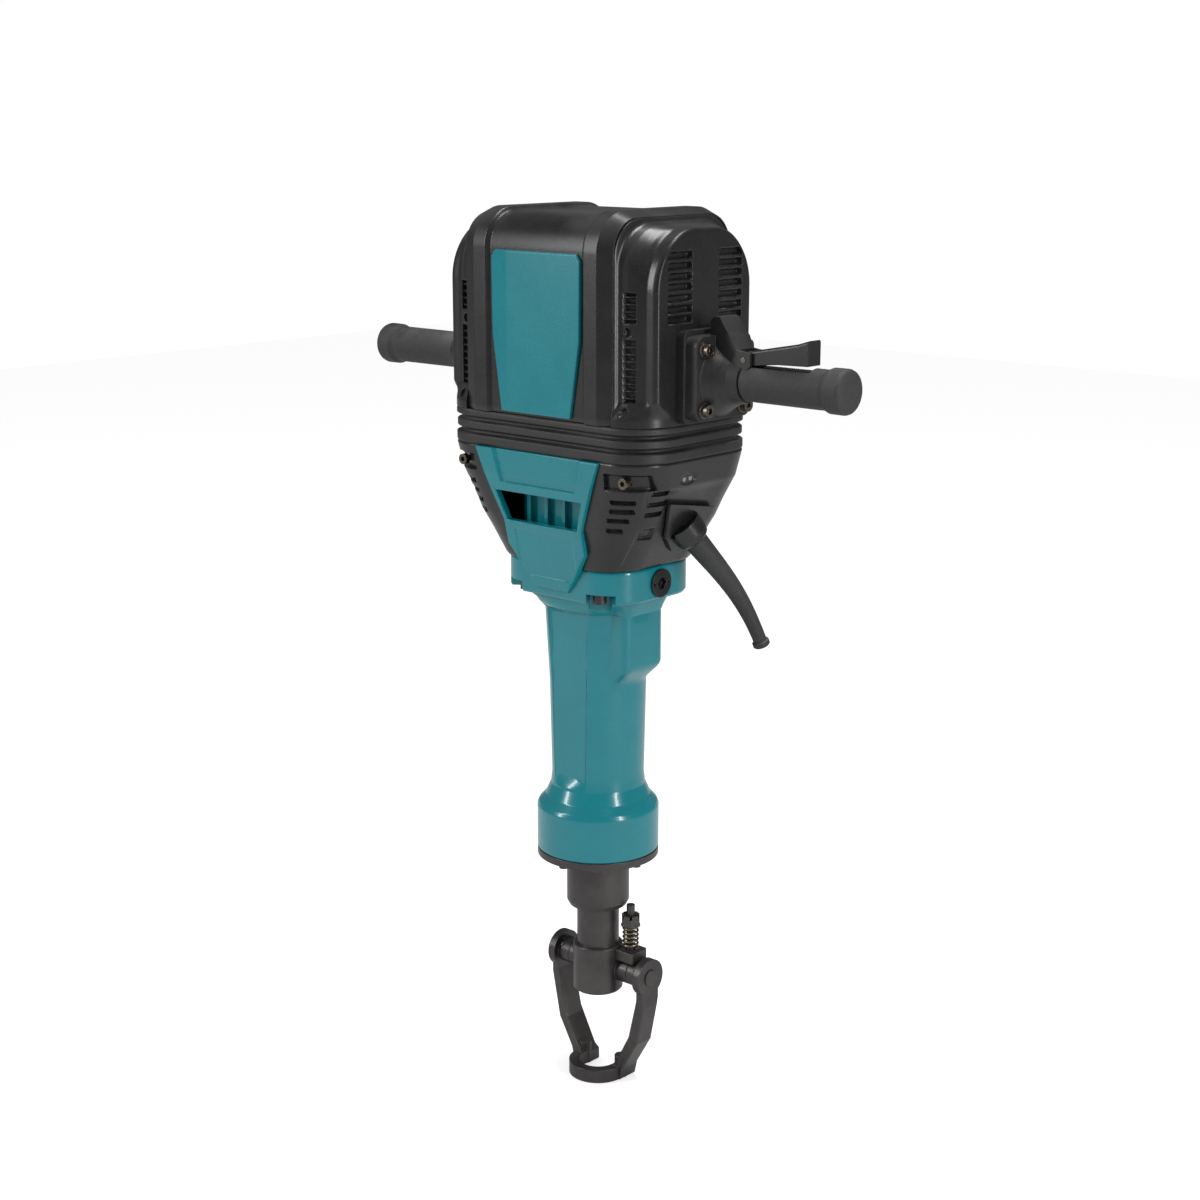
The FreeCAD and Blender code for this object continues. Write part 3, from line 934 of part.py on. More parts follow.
# ---- retainer and lock ------------------------------------------------------------------------------
def retainer():
    hub_x0 = BOSS_X + 0.5
    hub = cyl_x(HUB_R, hub_x0, EAR_X1, PIVOT_Y, PIVOT_Z)
    ear = cyl_x(EAR_R, EAR_X0, EAR_X1, PIVOT_Y, PIVOT_Z)
    arm_out = [(EAR_X1, PIVOT_Z), (EAR_X1, -8), (57, -52), (36, -88), (RING_R + 1, RING_Z0)]
    arm_in = [(RING_BORE_R - 1, RING_Z0), (RING_BORE_R - 1, RING_Z1 - 2), (26, -84), (44, -50), (54, -8),
              (EAR_X0, 5), (EAR_X0, PIVOT_Z)]
    arm = prism_xz(arm_out + arm_in, PIVOT_Y - 13, PIVOT_Y + 13)
    arm = arm.makeChamfer(1.6, [e for e in arm.Edges if abs(e.tangentAt(e.FirstParameter).y) < 0.1
                                and e.BoundBox.XMin > 35.5 and e.BoundBox.ZMax < PIVOT_Z - 1])
    stub_x = (RING_R + RING_BORE_R) / 2
    stub_y = 8.0
    ring = cyl_z(RING_R, RING_Z0, RING_Z1).cut(box(-40, 40, stub_y, 40, RING_Z0 - 1, RING_Z1 + 1))
    stub = cyl_z(7, RING_Z0, RING_Z1 + 10, stub_x, stub_y)
    ring = fuse([ring, stub, mirror_x(stub)])
    side = [hub, ear, arm]
    yoke = fuse(side + [mirror_x(s) for s in side] + [ring])
    yoke = cut(yoke, [cyl_z(RING_BORE_R, RING_Z0 - 1, RING_Z1 + 12)])
    pin_bore = [cyl_x(PIN_R, hub_x0 - 1, EAR_X1 + 1, PIVOT_Y, PIVOT_Z),
                cyl_x(PIN_R, -EAR_X1 - 1, -hub_x0 + 1, PIVOT_Y, PIVOT_Z)]
    roll_r = 2.5
    rolls = [rod(V(s * ROLL_X, PIVOT_Y, PIVOT_Z), V(0, -0.77, 0.64), roll_r, HUB_R + 0.8) for s in (-1, 1)]
    yoke = cut(yoke, pin_bore + rolls)
    node("retainer_yoke", yoke)
    pin = cyl_x(PIN_R, 22, EAR_X1 + 1.5, PIVOT_Y, PIVOT_Z)
    group("retainer_pins", [cut(p, rolls) for p in (pin, mirror_x(pin))] + rolls)

    block_z0 = PIVOT_Z + HUB_R + 0.5
    block_z1 = 51.0
    block = box(LOCK_X - 13, LOCK_X + 13, PIVOT_Y - 13, PIVOT_Y + 13, block_z0, block_z1)
    block = block.makeChamfer(2, [e for e in block.Edges if abs(e.tangentAt(e.FirstParameter).z) > 0.9])
    stud_way = cyl_z(LOCK_R + RUN, 30, 60, LOCK_X, PIVOT_Y)
    block = cut(block, [cyl_z(MOUTH_R + SLIDE, 30, MOUTH_TOP + 6), stud_way])
    node("lock_block", block)
    node("lock_stud", cyl_z(LOCK_R, PIVOT_Z + PIN_R + 1, LOCK_TOP, LOCK_X, PIVOT_Y))
    nut_top = LOCK_NUT_Z + 13
    washer = cyl_z(10.5, LOCK_NUT_Z, LOCK_NUT_Z + 1.5, LOCK_X, PIVOT_Y)
    nut = hex_prism(19, LOCK_NUT_Z + 1, nut_top, LOCK_X, PIVOT_Y, 12)
    notches = []
    for i in range(3):
        notch = box(-12, 12, -1.4, 1.4, nut_top - 4, nut_top + 1)
        notch.rotate(V(0, 0, 0), Z_AXIS, 60 * i + 12)
        notch.translate(V(LOCK_X, PIVOT_Y, 0))
        notches.append(notch)
    bore = cyl_z(LOCK_R, LOCK_NUT_Z - 1, nut_top + 1, LOCK_X, PIVOT_Y)
    node("lock_nut", cut(fuse([washer, nut]), notches + [bore]))
    node("lock_spring", spring(7.7, 1.3, block_z1 + SOFT_GAP, LOCK_NUT_Z, 5, LOCK_X, PIVOT_Y))


hammer_axis()
drive_train()
main_castings()
gear_cover()
lower_covers()
front_cover_teal()
rubber_boot()
cord_parts()
hood_covers()
handles()
retainer()

for name, shape in nodes.items():
    shape.exportStep("parts/" + name + ".step")
    solids = shape.Solids
    ok = all(s.isValid() and s.isClosed() for s in solids)
    print(name, len(solids), round(sum(s.Volume for s in solids) / 1000, 2), "ok" if ok else "BROKEN")
print(len(nodes), "nodes")
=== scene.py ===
# %% [markdown]
# # An electric breaker hammer
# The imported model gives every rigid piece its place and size. This lesson dresses it: the moulded
# covers, castings, rubber and steel are made again as smooth surfaces or get a finish of their own.

# %% Load the frame
import bpy
import json
import math
import numpy as np
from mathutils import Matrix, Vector


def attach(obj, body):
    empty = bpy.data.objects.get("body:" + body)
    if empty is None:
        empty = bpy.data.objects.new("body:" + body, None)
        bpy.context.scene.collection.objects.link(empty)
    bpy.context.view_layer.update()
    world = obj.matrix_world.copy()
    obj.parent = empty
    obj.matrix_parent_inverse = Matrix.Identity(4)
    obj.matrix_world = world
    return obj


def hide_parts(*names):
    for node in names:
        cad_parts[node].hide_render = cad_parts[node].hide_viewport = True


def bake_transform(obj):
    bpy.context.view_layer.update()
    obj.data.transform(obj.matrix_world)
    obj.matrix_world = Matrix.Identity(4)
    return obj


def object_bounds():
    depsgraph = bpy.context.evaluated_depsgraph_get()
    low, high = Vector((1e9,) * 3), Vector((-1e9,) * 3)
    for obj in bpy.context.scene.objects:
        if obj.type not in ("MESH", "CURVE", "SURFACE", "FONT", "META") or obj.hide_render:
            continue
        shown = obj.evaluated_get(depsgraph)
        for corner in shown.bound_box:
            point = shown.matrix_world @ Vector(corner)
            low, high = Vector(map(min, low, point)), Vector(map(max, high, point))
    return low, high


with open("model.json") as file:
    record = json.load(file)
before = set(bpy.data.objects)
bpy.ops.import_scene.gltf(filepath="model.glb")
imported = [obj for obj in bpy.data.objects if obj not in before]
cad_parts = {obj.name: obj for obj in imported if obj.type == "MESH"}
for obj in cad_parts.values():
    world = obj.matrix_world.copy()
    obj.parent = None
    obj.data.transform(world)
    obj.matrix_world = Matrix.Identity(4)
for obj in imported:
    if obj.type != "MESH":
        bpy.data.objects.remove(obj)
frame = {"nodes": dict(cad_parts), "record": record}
cad_box = [list(map(float, corner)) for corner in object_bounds()]
nodes = frame["nodes"]
print("nodes", len(nodes), "box", cad_box)

# %% [markdown]
# ## Shared effects
# Real surfaces are never one flat colour. Four effects come back on nearly every piece: a fine
# grain, wear along edges, dust on what faces up, and slow changes of tone. Each is a node group
# that puts out a mask or a height, so each finish can use it with its own amounts.

# %% Helpers for node groups
def new_group(name, inputs, outputs):
    """Empty shader group with float or vector inputs and outputs given as (name, kind, default)."""
    group = bpy.data.node_groups.new(name, "ShaderNodeTree")
    for label, kind, default in inputs:
        socket = group.interface.new_socket(name=label, in_out="INPUT", socket_type=kind)
        if default is not None:
            socket.default_value = default
    for label, kind in outputs:
        group.interface.new_socket(name=label, in_out="OUTPUT", socket_type=kind)
    return group, group.nodes.new("NodeGroupInput"), group.nodes.new("NodeGroupOutput")


def wire(tree, *pairs):
    """Link output sockets to input sockets, pair by pair."""
    for a, b in pairs:
        tree.links.new(a, b)


def math_node(tree, operation, a, b=None, clamp=False):
    """Math node whose operands are sockets or numbers; gives its output socket."""
    n = tree.nodes.new("ShaderNodeMath")
    n.operation = operation
    n.use_clamp = clamp
    for slot, value in ((0, a), (1, b)):
        if value is None:
            continue
        if isinstance(value, (int, float)):
            n.inputs[slot].default_value = value
        else:
            tree.links.new(value, n.inputs[slot])
    return n.outputs[0]


def noise(tree, vector, scale, detail=4.0, rough=0.55):
    """Noise texture on a vector; gives its value output."""
    n = tree.nodes.new("ShaderNodeTexNoise")
    n.inputs["Scale"].default_value = scale
    n.inputs["Detail"].default_value = detail
    n.inputs["Roughness"].default_value = rough
    tree.links.new(vector, n.inputs["Vector"])
    return n.outputs[0]


def ramp(tree, value, low, high):
    """Stretch value so that low goes to 0 and high to 1."""
    n = tree.nodes.new("ShaderNodeMapRange")
    n.interpolation_type = "SMOOTHSTEP"
    n.inputs["From Min"].default_value = low
    n.inputs["From Max"].default_value = high
    tree.links.new(value, n.inputs["Value"])
    return n.outputs[0]


# %% Grain, wear, dust and tone groups
def make_grain():
    """Spark-eroded mould grain: small cells with softened walls plus a fine noise."""
    g, gi, go = new_group("mould_grain", [("Vector", "NodeSocketVector", None), ("Scale", "NodeSocketFloat",
                                                                                 900.0)],
                          [("Height", "NodeSocketFloat"), ("Mask", "NodeSocketFloat")])
    cells = g.nodes.new("ShaderNodeTexVoronoi")
    cells.feature = "SMOOTH_F1"
    fine = g.nodes.new("ShaderNodeTexNoise")
    fine.inputs["Detail"].default_value = 3.0
    wire(g, (gi.outputs["Vector"], cells.inputs["Vector"]), (gi.outputs["Scale"], cells.inputs["Scale"]),
         (gi.outputs["Vector"], fine.inputs["Vector"]), (gi.outputs["Scale"], fine.inputs["Scale"]))
    mix = math_node(g, "ADD", math_node(g, "MULTIPLY", cells.outputs["Distance"], 0.8),
                    math_node(g, "MULTIPLY", fine.outputs[0], 0.5))
    wire(g, (mix, go.inputs["Height"]), (ramp(g, fine.outputs[0], 0.35, 0.7), go.inputs["Mask"]))
    return g


def make_edge():
    """Edges: how far the softened normal leaves the true one, broken up by noise; also that normal."""
    g, gi, go = new_group("edge_wear", [("Vector", "NodeSocketVector", None), ("Radius", "NodeSocketFloat",
                                                                               0.0012),
                                        ("Amount", "NodeSocketFloat", 1.0)],
                          [("Mask", "NodeSocketFloat"), ("Normal", "NodeSocketVector")])
    soft = g.nodes.new("ShaderNodeBevel")
    soft.samples = 6
    geo = g.nodes.new("ShaderNodeNewGeometry")
    dot = g.nodes.new("ShaderNodeVectorMath")
    dot.operation = "DOT_PRODUCT"
    wire(g, (gi.outputs["Radius"], soft.inputs["Radius"]), (soft.outputs[0], dot.inputs[0]),
         (geo.outputs["Normal"], dot.inputs[1]))
    bend = ramp(g, math_node(g, "SUBTRACT", 1.0, dot.outputs["Value"]), 0.02, 0.25)
    broken = ramp(g, noise(g, gi.outputs["Vector"], 70.0, 5.0), 0.38, 0.68)
    mask = math_node(g, "MULTIPLY", math_node(g, "MULTIPLY", bend, broken), gi.outputs["Amount"], True)
    wire(g, (mask, go.inputs["Mask"]), (soft.outputs[0], go.inputs["Normal"]))
    return g


def make_dust():
    """Dust: what faces up, patchy, more of it where two slow noises agree."""
    g, gi, go = new_group("settled_dust", [("Vector", "NodeSocketVector", None), ("Amount", "NodeSocketFloat",
                                                                                  0.3)],
                          [("Mask", "NodeSocketFloat")])
    geo = g.nodes.new("ShaderNodeNewGeometry")
    split = g.nodes.new("ShaderNodeSeparateXYZ")
    wire(g, (geo.outputs["Normal"], split.inputs[0]))
    up = ramp(g, split.outputs["Z"], 0.1, 1.0)
    patches = ramp(g, noise(g, gi.outputs["Vector"], 14.0, 6.0), 0.4, 0.72)
    specks = ramp(g, noise(g, gi.outputs["Vector"], 600.0, 2.0), 0.55, 0.75)
    both = math_node(g, "ADD", math_node(g, "MULTIPLY", up, patches), math_node(g, "MULTIPLY", specks, 0.25))
    wire(g, (math_node(g, "MULTIPLY", both, gi.outputs["Amount"], True), go.inputs["Mask"]))
    return g


def make_tone():
    """Slow change of tone over a hand's width, centred on one half."""
    g, gi, go = new_group("slow_tone", [("Vector", "NodeSocketVector", None)], [("Value", "NodeSocketFloat")])
    slow = noise(g, gi.outputs["Vector"], 9.0, 3.0)
    fast = noise(g, gi.outputs["Vector"], 45.0, 4.0)
    wire(g, (math_node(g, "ADD", math_node(g, "MULTIPLY", slow, 0.65), math_node(g, "MULTIPLY", fast, 0.35)),
             go.inputs["Value"]))
    return g


GRAIN, EDGE, DUST, TONE = make_grain(), make_edge(), make_dust(), make_tone()
print("groups", [g.name for g in (GRAIN, EDGE, DUST, TONE)])


# %% [markdown]
# ## Finishes
# One builder lays the shared effects over a Principled shader: the base colour drifts with the
# slow tone, edges turn to the worn colour, dust turns pale and rough, and the grain feeds a bump.

# %% One builder for every finish
def add_group(tree, group, vector, **values):
    """A node that runs a group at `vector`, with its other inputs set by name."""
    n = tree.nodes.new("ShaderNodeGroup")
    n.node_tree = group
    tree.links.new(vector, n.inputs["Vector"])
    for label, value in values.items():
        n.inputs[label].default_value = value
    return n


def mix_colour(tree, factor, a, b):
    """Colour mix; a and b are sockets or colours, factor is a socket."""
    n = tree.nodes.new("ShaderNodeMix")
    n.data_type = "RGBA"
    tree.links.new(factor, n.inputs[0])
    for slot, value in ((6, a), (7, b)):
        if isinstance(value, tuple):
            n.inputs[slot].default_value = (*value, 1.0)
        else:
            tree.links.new(value, n.inputs[slot])
    return n.outputs[2]


def finish(name, dark, light, rough, worn=None, worn_amount=0.5, metallic=0.0, grain=900.0, bump=0.12,
           depth=0.00005, dust=0.2, dust_colour=(0.30, 0.29, 0.27), radius=0.0012, coat=0.0, coat_rough=0.1,
           specular=0.5, rough_span=0.12):
    """Principled material with tone drift, grain bump, edge wear and dust."""
    m = bpy.data.materials.new(name)
    m.use_nodes = True
    tree = m.node_tree
    shader = tree.nodes["Principled BSDF"]
    place = tree.nodes.new("ShaderNodeTexCoord").outputs["Object"]
    tone = add_group(tree, TONE, place).outputs["Value"]
    grains = add_group(tree, GRAIN, place, Scale=grain)
    edge = add_group(tree, EDGE, place, Radius=radius, Amount=worn_amount)
    dusty = add_group(tree, DUST, place, Amount=dust)
    colour = mix_colour(tree, ramp(tree, tone, 0.3, 0.7), dark, light)
    if worn:
        colour = mix_colour(tree, edge.outputs["Mask"], colour, worn)
    colour = mix_colour(tree, dusty.outputs["Mask"], colour, dust_colour)
    tree.links.new(colour, shader.inputs["Base Color"])
    base = math_node(tree, "ADD", rough - rough_span / 2, math_node(tree, "MULTIPLY", tone, rough_span))
    dull = math_node(tree, "MULTIPLY", dusty.outputs["Mask"], 0.35)
    scuff = math_node(tree, "MULTIPLY", grains.outputs["Mask"], rough_span * 0.4)
    tree.links.new(math_node(tree, "ADD", math_node(tree, "ADD", base, dull), scuff, True),
                   shader.inputs["Roughness"])
    shader.inputs["Metallic"].default_value = metallic
    shader.inputs["Coat Weight"].default_value = coat
    shader.inputs["Coat Roughness"].default_value = coat_rough
    shader.inputs["Specular IOR Level"].default_value = specular
    b = tree.nodes.new("ShaderNodeBump")
    b.inputs["Strength"].default_value = bump
    b.inputs["Distance"].default_value = depth
    tree.links.new(grains.outputs["Height"], b.inputs["Height"])
    tree.links.new(edge.outputs["Normal"], b.inputs["Normal"])
    tree.links.new(b.outputs[0], shader.inputs["Normal"])
    return m


# %% The finishes
black = finish("satin_black_shell", (0.010, 0.010, 0.011), (0.016, 0.016, 0.017), 0.27, (0.05, 0.05, 0.05),
               0.35,
               grain=1500.0, bump=0.25, dust=0.12, coat=0.0, specular=0.5)
black_cast = finish("powder_black", (0.010, 0.010, 0.011), (0.018, 0.018, 0.019), 0.42, (0.10, 0.10, 0.10),
                    0.4,
                    grain=1100.0, bump=0.4, dust=0.15)
teal_paint = finish("teal_gloss_paint", (0.0, 0.176, 0.212), (0.0, 0.198, 0.237), 0.22, (0.03, 0.32, 0.36),
                    0.4,
                    grain=700.0, bump=0.10, dust=0.03, coat=0.35, coat_rough=0.08)
teal_mould = finish("teal_moulded", (0.0, 0.178, 0.212), (0.0, 0.198, 0.236), 0.24, (0.03, 0.30, 0.35), 0.4,
                    grain=1200.0, bump=0.10, dust=0.03, coat=0.25, coat_rough=0.1)
rubber = finish("boot_rubber", (0.012, 0.012, 0.012), (0.020, 0.020, 0.020), 0.48, (0.05, 0.05, 0.05), 0.3,
                grain=1600.0, bump=0.3, dust=0.2)
grip = finish("grip_rubber", (0.022, 0.022, 0.023), (0.034, 0.034, 0.034), 0.62, (0.06, 0.06, 0.06), 0.4,
              grain=2200.0, bump=0.6, depth=0.0001, dust=0.25)
phosphate = finish("phosphated_steel", (0.062, 0.058, 0.058), (0.105, 0.098, 0.096), 0.34, (0.22, 0.20, 0.18),
                   0.7,
                   metallic=0.75, grain=1000.0, bump=0.35, dust=0.1, rough_span=0.2)
zinc = finish("dulled_zinc", (0.10, 0.085, 0.07), (0.20, 0.175, 0.145), 0.30, (0.42, 0.38, 0.33), 0.6,
              metallic=1.0,
              grain=1800.0, bump=0.2, dust=0.1, radius=0.0006, rough_span=0.2)
spring_wire = finish("oiled_spring_wire", (0.20, 0.165, 0.12), (0.34, 0.29, 0.22), 0.30, (0.6, 0.55, 0.45),
                     0.5,
                     metallic=1.0, grain=1800.0, bump=0.15, dust=0.08, radius=0.0004, rough_span=0.2)
steel = finish("ground_steel", (0.42, 0.42, 0.42), (0.55, 0.55, 0.54), 0.28, (0.75, 0.75, 0.75), 0.5,
               metallic=1.0,
               grain=2400.0, bump=0.1, dust=0.05, rough_span=0.18)
alloy = finish("bare_alloy", (0.45, 0.45, 0.44), (0.60, 0.60, 0.58), 0.45, (0.75, 0.75, 0.74), 0.5,
               metallic=1.0,
               grain=1000.0, bump=0.5, dust=0.1, rough_span=0.2)
winding = finish("varnished_wire", (0.16, 0.06, 0.02), (0.26, 0.11, 0.04), 0.30, (0.45, 0.24, 0.1), 0.5,
                 metallic=0.6,
                 grain=2600.0, bump=0.6, dust=0.1)
louvre = finish("grey_louvre", (0.20, 0.20, 0.20), (0.28, 0.28, 0.28), 0.45, (0.4, 0.4, 0.4), 0.3,
                grain=1500.0,
                bump=0.2, dust=0.2, radius=0.0004)
lens = finish("lamp_lens", (0.16, 0.16, 0.15), (0.24, 0.24, 0.22), 0.12, None, 0.0, grain=1500.0, bump=0.05,
              dust=0.05,
              coat=0.5, radius=0.0003)

by_slot = {"teal_casting": teal_paint, "teal_plastic": teal_mould, "black_plastic": black,
           "grey_plastic": louvre,
           "boot_rubber": rubber, "grip_rubber": grip, "black_casting": black_cast, "bare_aluminium": alloy,
           "phosphated_steel": phosphate, "machined_steel": steel, "bolt_steel": zinc,
           "spring_steel": spring_wire,
           "windings": winding, "lamp_lens": lens}
slot_of = {s["node"]: s["material_slot"] for s in frame["record"]["subparts"]}
for name, obj in nodes.items():
    obj.data.materials.clear()
    obj.data.materials.append(by_slot[slot_of[name]])
# Painted light: the holder key gets a lighter copy of the phosphated finish, so that the key, which sits in
# shade, looks lit and stands out.
key_painted_light = finish("key_painted_light", (0.10, 0.095, 0.09), (0.17, 0.16, 0.15), 0.35, (0.3, 0.29, 0.27), 0.7,
                  metallic=0.75,
                  grain=1000.0, bump=0.3, dust=0.1)
nodes["holder_key"].data.materials[0] = key_painted_light
print("finishes", len(by_slot))

# %% [markdown]
# ## Skins from grids
# Every new shell below is a grid of points: rows run one way over the surface and columns run
# round it. One helper turns such a grid into a closed mesh. It measures the enclosed volume, and
# if that comes out negative the faces looked inwards, so it turns them round. Sizes are written
# in millimetres, as on a drawing, and become metres at the last moment.

# %% From a grid to a closed mesh
def skin(name, grid, body, stands_for, finish_used, ends="fan", sharp=38.0):
    """Closed mesh of a (rows, columns, 3) grid in millimetres whose columns close on themselves.

    ends is "fan" (a middle point closes the first and last row), "strip" (the row is a flattened
    loop, closed between its two halves) or "loop" (the last row joins the first)."""
    rows, cols = grid.shape[:2]
    points = grid.reshape(-1, 3)
    last = rows if ends == "loop" else rows - 1
    i, j = np.meshgrid(np.arange(last), np.arange(cols), indexing="ij")
    up, side = (i + 1) % rows, (j + 1) % cols
    quads = np.stack([i * cols + j, i * cols + side, up * cols + side, up * cols + j], -1).reshape(-1, 4)
    tris = np.zeros((0, 3), int)
    ring = np.arange(cols)
    if ends == "fan":
        points = np.vstack([points, grid[0].mean(0), grid[-1].mean(0)])
        base = (rows - 1) * cols
        first = np.stack([np.full(cols, rows * cols), (ring + 1) % cols, ring], -1)
        final = np.stack([np.full(cols, rows * cols + 1), base + ring, base + (ring + 1) % cols], -1)
        tris = np.vstack([first, final])
    if ends == "strip":
        n = np.arange(cols // 2 - 1)
        low = np.stack([n, cols - 1 - n, cols - 2 - n, n + 1], -1)
        quads = np.vstack([quads, low, (low + (rows - 1) * cols)[:, ::-1]])
    a, b, c = (np.vstack([quads[:, (0, 1, 2)], quads[:, (0, 2, 3)], tris])[:, k] for k in range(3))
    volume = np.einsum("ij,ij->", points[a], np.cross(points[b], points[c])) / 6
    if volume < 0:
        quads, tris = quads[:, ::-1], tris[:, ::-1]
    mesh = bpy.data.meshes.new(name)
    mesh.from_pydata((points / 1000).tolist(), [], quads.tolist() + tris.tolist())
    mesh.polygons.foreach_set("use_smooth", np.ones(len(mesh.polygons), bool))
    mesh.set_sharp_from_angle(angle=math.radians(sharp))
    obj = bpy.data.objects.new(name, mesh)
    bpy.context.scene.collection.objects.link(obj)
    mesh.materials.append(finish_used)
    if stands_for:
        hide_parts(*stands_for)
    if body:
        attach(obj, body)
    print(name, len(mesh.polygons), "faces", round(abs(volume) / 1000, 1), "cm3")
    return obj


# %% Small shape helpers
def smooth(x, low, high):
    """0 below low, 1 above high, and 3t^2 - 2t^3 between them."""
    t = np.clip((x - low) / (high - low), 0, 1)
    return t * t * (3 - 2 * t)


def round_rect_radius(angle, hx, hy, r):
    """Distance from the middle of a rounded rectangle to its edge along each angle.

    A ray meets the side x = hx, the side y = hy, or the corner circle of radius r."""
    c, s = np.abs(np.cos(angle)) + 1e-9, np.abs(np.sin(angle)) + 1e-9
    cx, cy = hx - r, hy - r
    along = c * cx + s * cy
    corner = along + np.sqrt(np.maximum(along ** 2 - (cx ** 2 + cy ** 2 - r ** 2), 0))
    return np.where(s / c * hx <= cy, hx / c, np.where(c / s * hy <= cx, hy / s, corner))


def spread(*stops):
    """Evenly spaced values between stops, given as value, count, value, count, ... value."""
    parts = [np.linspace(stops[i], stops[i + 2], stops[i + 1],
                         endpoint=False) for i in range(0, len(stops) - 2, 2)]
    return np.concatenate(parts + [[stops[-1]]])


# %% [markdown]
# ## The barrel casting
# The long teal casting is drawn in polar form: at each height and angle it has one radius. That
# suits a casting, because the collar, the swelling on the switch side, the flat band in front and
# the notches over the four collar bolts all melt into one another, as they do in the real metal.

# %% Barrel housing
def barrel_grid():
    """Radius as a function of height and angle.

    Start from a turned outline; cut it flat in front; raise the swelling and the rear rib; then
    go over to the flared neck and the rounded rectangle of the collar, less the bolt notches."""
    z = spread(165.6, 4, 167.2, 12, 213, 10, 219, 12, 226, 14, 240, 20, 345, 26, 384, 14, 432, 14, 449.8, 2,
               450.2,
               8, 452.5, 8, 460.3, 2, 460.7, 10, 483.4, 5, 485)[:, None]
    angle = np.linspace(-np.pi, np.pi, 420, endpoint=False)[None, :]
    turned = np.interp(z, [165.6, 167.2, 213, 217, 225, 238, 250, 350, 425, 452],
                       [63.6, 65, 65, 63.4, 56, 50.3, 49, 51, 55, 57])
    r = turned + 0 * angle
    front = np.abs(angle + np.pi / 2)
    flat = 44 / np.maximum(np.cos(front), 0.2)
    half = np.interp(z, [246, 425], [21, 25])
    on_band = (1 - smooth(flat * np.sin(np.minimum(front, 1.5)), half, half + 1.2)) * smooth(z, 243, 249)
    on_band = on_band * (front < 1.2) * (1 - smooth(z, 426, 438))
    r = r + (np.minimum(flat, r) - r) * on_band
    groove = np.abs(flat * np.sin(np.minimum(front, 1.5)) - half - 0.6)
    r = r - 1.0 * (1 - smooth(groove, 0.2, 1.0)) * (front < 1.2) * smooth(z, 243, 249) * (1 - smooth(z, 426,
                                                                                                     438))
    swell = round_rect_radius(angle, 66, 30, 9) * (np.cos(angle) > 0.3)
    rise = smooth(z, 352, 378) * (z < 470)
    r = np.maximum(r, r + (swell - r) * rise * (swell > r))
    rib = np.where(np.abs(angle - np.pi / 2) < 0.11, 57, 0) * smooth(z, 238, 246)
    r = np.maximum(r, rib)
    neck = round_rect_radius(angle, 72, 58, 40)
    r = np.where((z > 432) & (z < 450), np.maximum(r, r + (neck - r) * smooth(z, 428, 451)), r)
    collar = round_rect_radius(angle, 85, 68, 42) - 1.6 * (1 - smooth(z, 450, 452.5)) - 1.6 * smooth(z, 483.4,
                                                                                                     485)
    bolt_at = np.arctan2(54, 51)
    away = np.abs(np.abs(np.abs(angle) - np.pi / 2) - (np.pi / 2 - bolt_at))
    notch = (away < 0.165) & (z < 460.5)
    r = np.where(z >= 450, np.where(notch, 62.5, collar), np.where((away < 0.165) & (z > 436),
                                                                   np.minimum(r, 62.5), r))
    off_cap = np.hypot(r * np.sin(angle), z - 467)
    r = r - 5.0 * (off_cap < 10.5) * (np.cos(angle) > 0)
    return np.stack([r * np.cos(angle), r * np.sin(angle), z + 0 * angle], -1)


barrel = skin("barrel_skin", barrel_grid(), "main", ["barrel_housing"], teal_paint, sharp=30)

# %% [markdown]
# ## The hood's middle
# The front and rear covers carry one outline over the top of the hood. Along X the outline steps:
# a channel with rounded lips, a flat raised band each side of it, then a chamfer down to the side
# covers. So the shell is that stepped profile carried along an arch, twice, once for each cover.

# %% Front and rear covers
HOOD_FRONT, HOOD_ROOF, ROOF_RADIUS, HOOD_FOOT = 95.0, 842.0, 40.0, 638.2


def arch(rows_up, rows_round, rows_over):
    """Points (y, z) and outward normals of the arch from the foot of the front to the middle of the roof."""
    up = np.linspace(HOOD_FOOT, HOOD_ROOF - ROOF_RADIUS, rows_up, endpoint=False)
    turn = np.linspace(0, np.pi / 2, rows_round, endpoint=False)
    over = np.linspace(-(HOOD_FRONT - ROOF_RADIUS), -0.1, rows_over)
    y = np.concatenate([np.full(rows_up, -HOOD_FRONT), -HOOD_FRONT + ROOF_RADIUS * (1 - np.cos(turn)), over])
    z = np.concatenate([up, HOOD_ROOF - ROOF_RADIUS + ROOF_RADIUS * np.sin(turn), np.full(rows_over,
                                                                                          HOOD_ROOF)])
    ny = np.concatenate([np.full(rows_up, -1.0), -np.cos(turn), np.zeros(rows_over)])
    nz = np.concatenate([np.zeros(rows_up), np.sin(turn), np.ones(rows_over)])
    return y, z, ny, nz


def middle_cover(side):
    """Stepped profile along the arch; side is -1 for the front cover and 1 for the rear one.

    Depth below the arch: 4 in the channel, 0 on the bands, falling to 6.4 at the side covers."""
    x = spread(-98.9, 14, -84, 8, -81, 14, -67, 16, -61, 60, 61, 16, 67, 14, 81, 8, 84, 14, 98.9)
    far = np.abs(x)
    depth = 4.0 * (1 - smooth(far, 62, 66.5)) + 6.4 * np.clip((far - 83) / 16, 0, 1)
    loop_x = np.concatenate([x, x[::-1]])
    loop_depth = np.concatenate([depth, np.maximum(depth[::-1] + 1.6, 6.5)])
    y, z, ny, nz = (part[:, None] for part in arch(42, 34, 22))
    foot = 1.2 * (1 - smooth(z, HOOD_FOOT, HOOD_FOOT + 1.5)) * (loop_depth < 6.45)
    d = loop_depth[None, :] + foot
    return np.stack([loop_x[None, :] + 0 * y, side * (-(y - ny * d)), z - nz * d], -1)


skin("front_cover_skin", middle_cover(-1), "hood", ["front_cover"], black, "strip", 50)
skin("rear_cover_skin", middle_cover(1), "hood", ["rear_cover"], black, "strip", 50)

# %% [markdown]
# ## The badge plate
# A blank teal plate lies in the front channel. It is wider above than below, its edge is rolled
# over by a millimetre, and its left fifth is folded back a little, which is what catches the light.

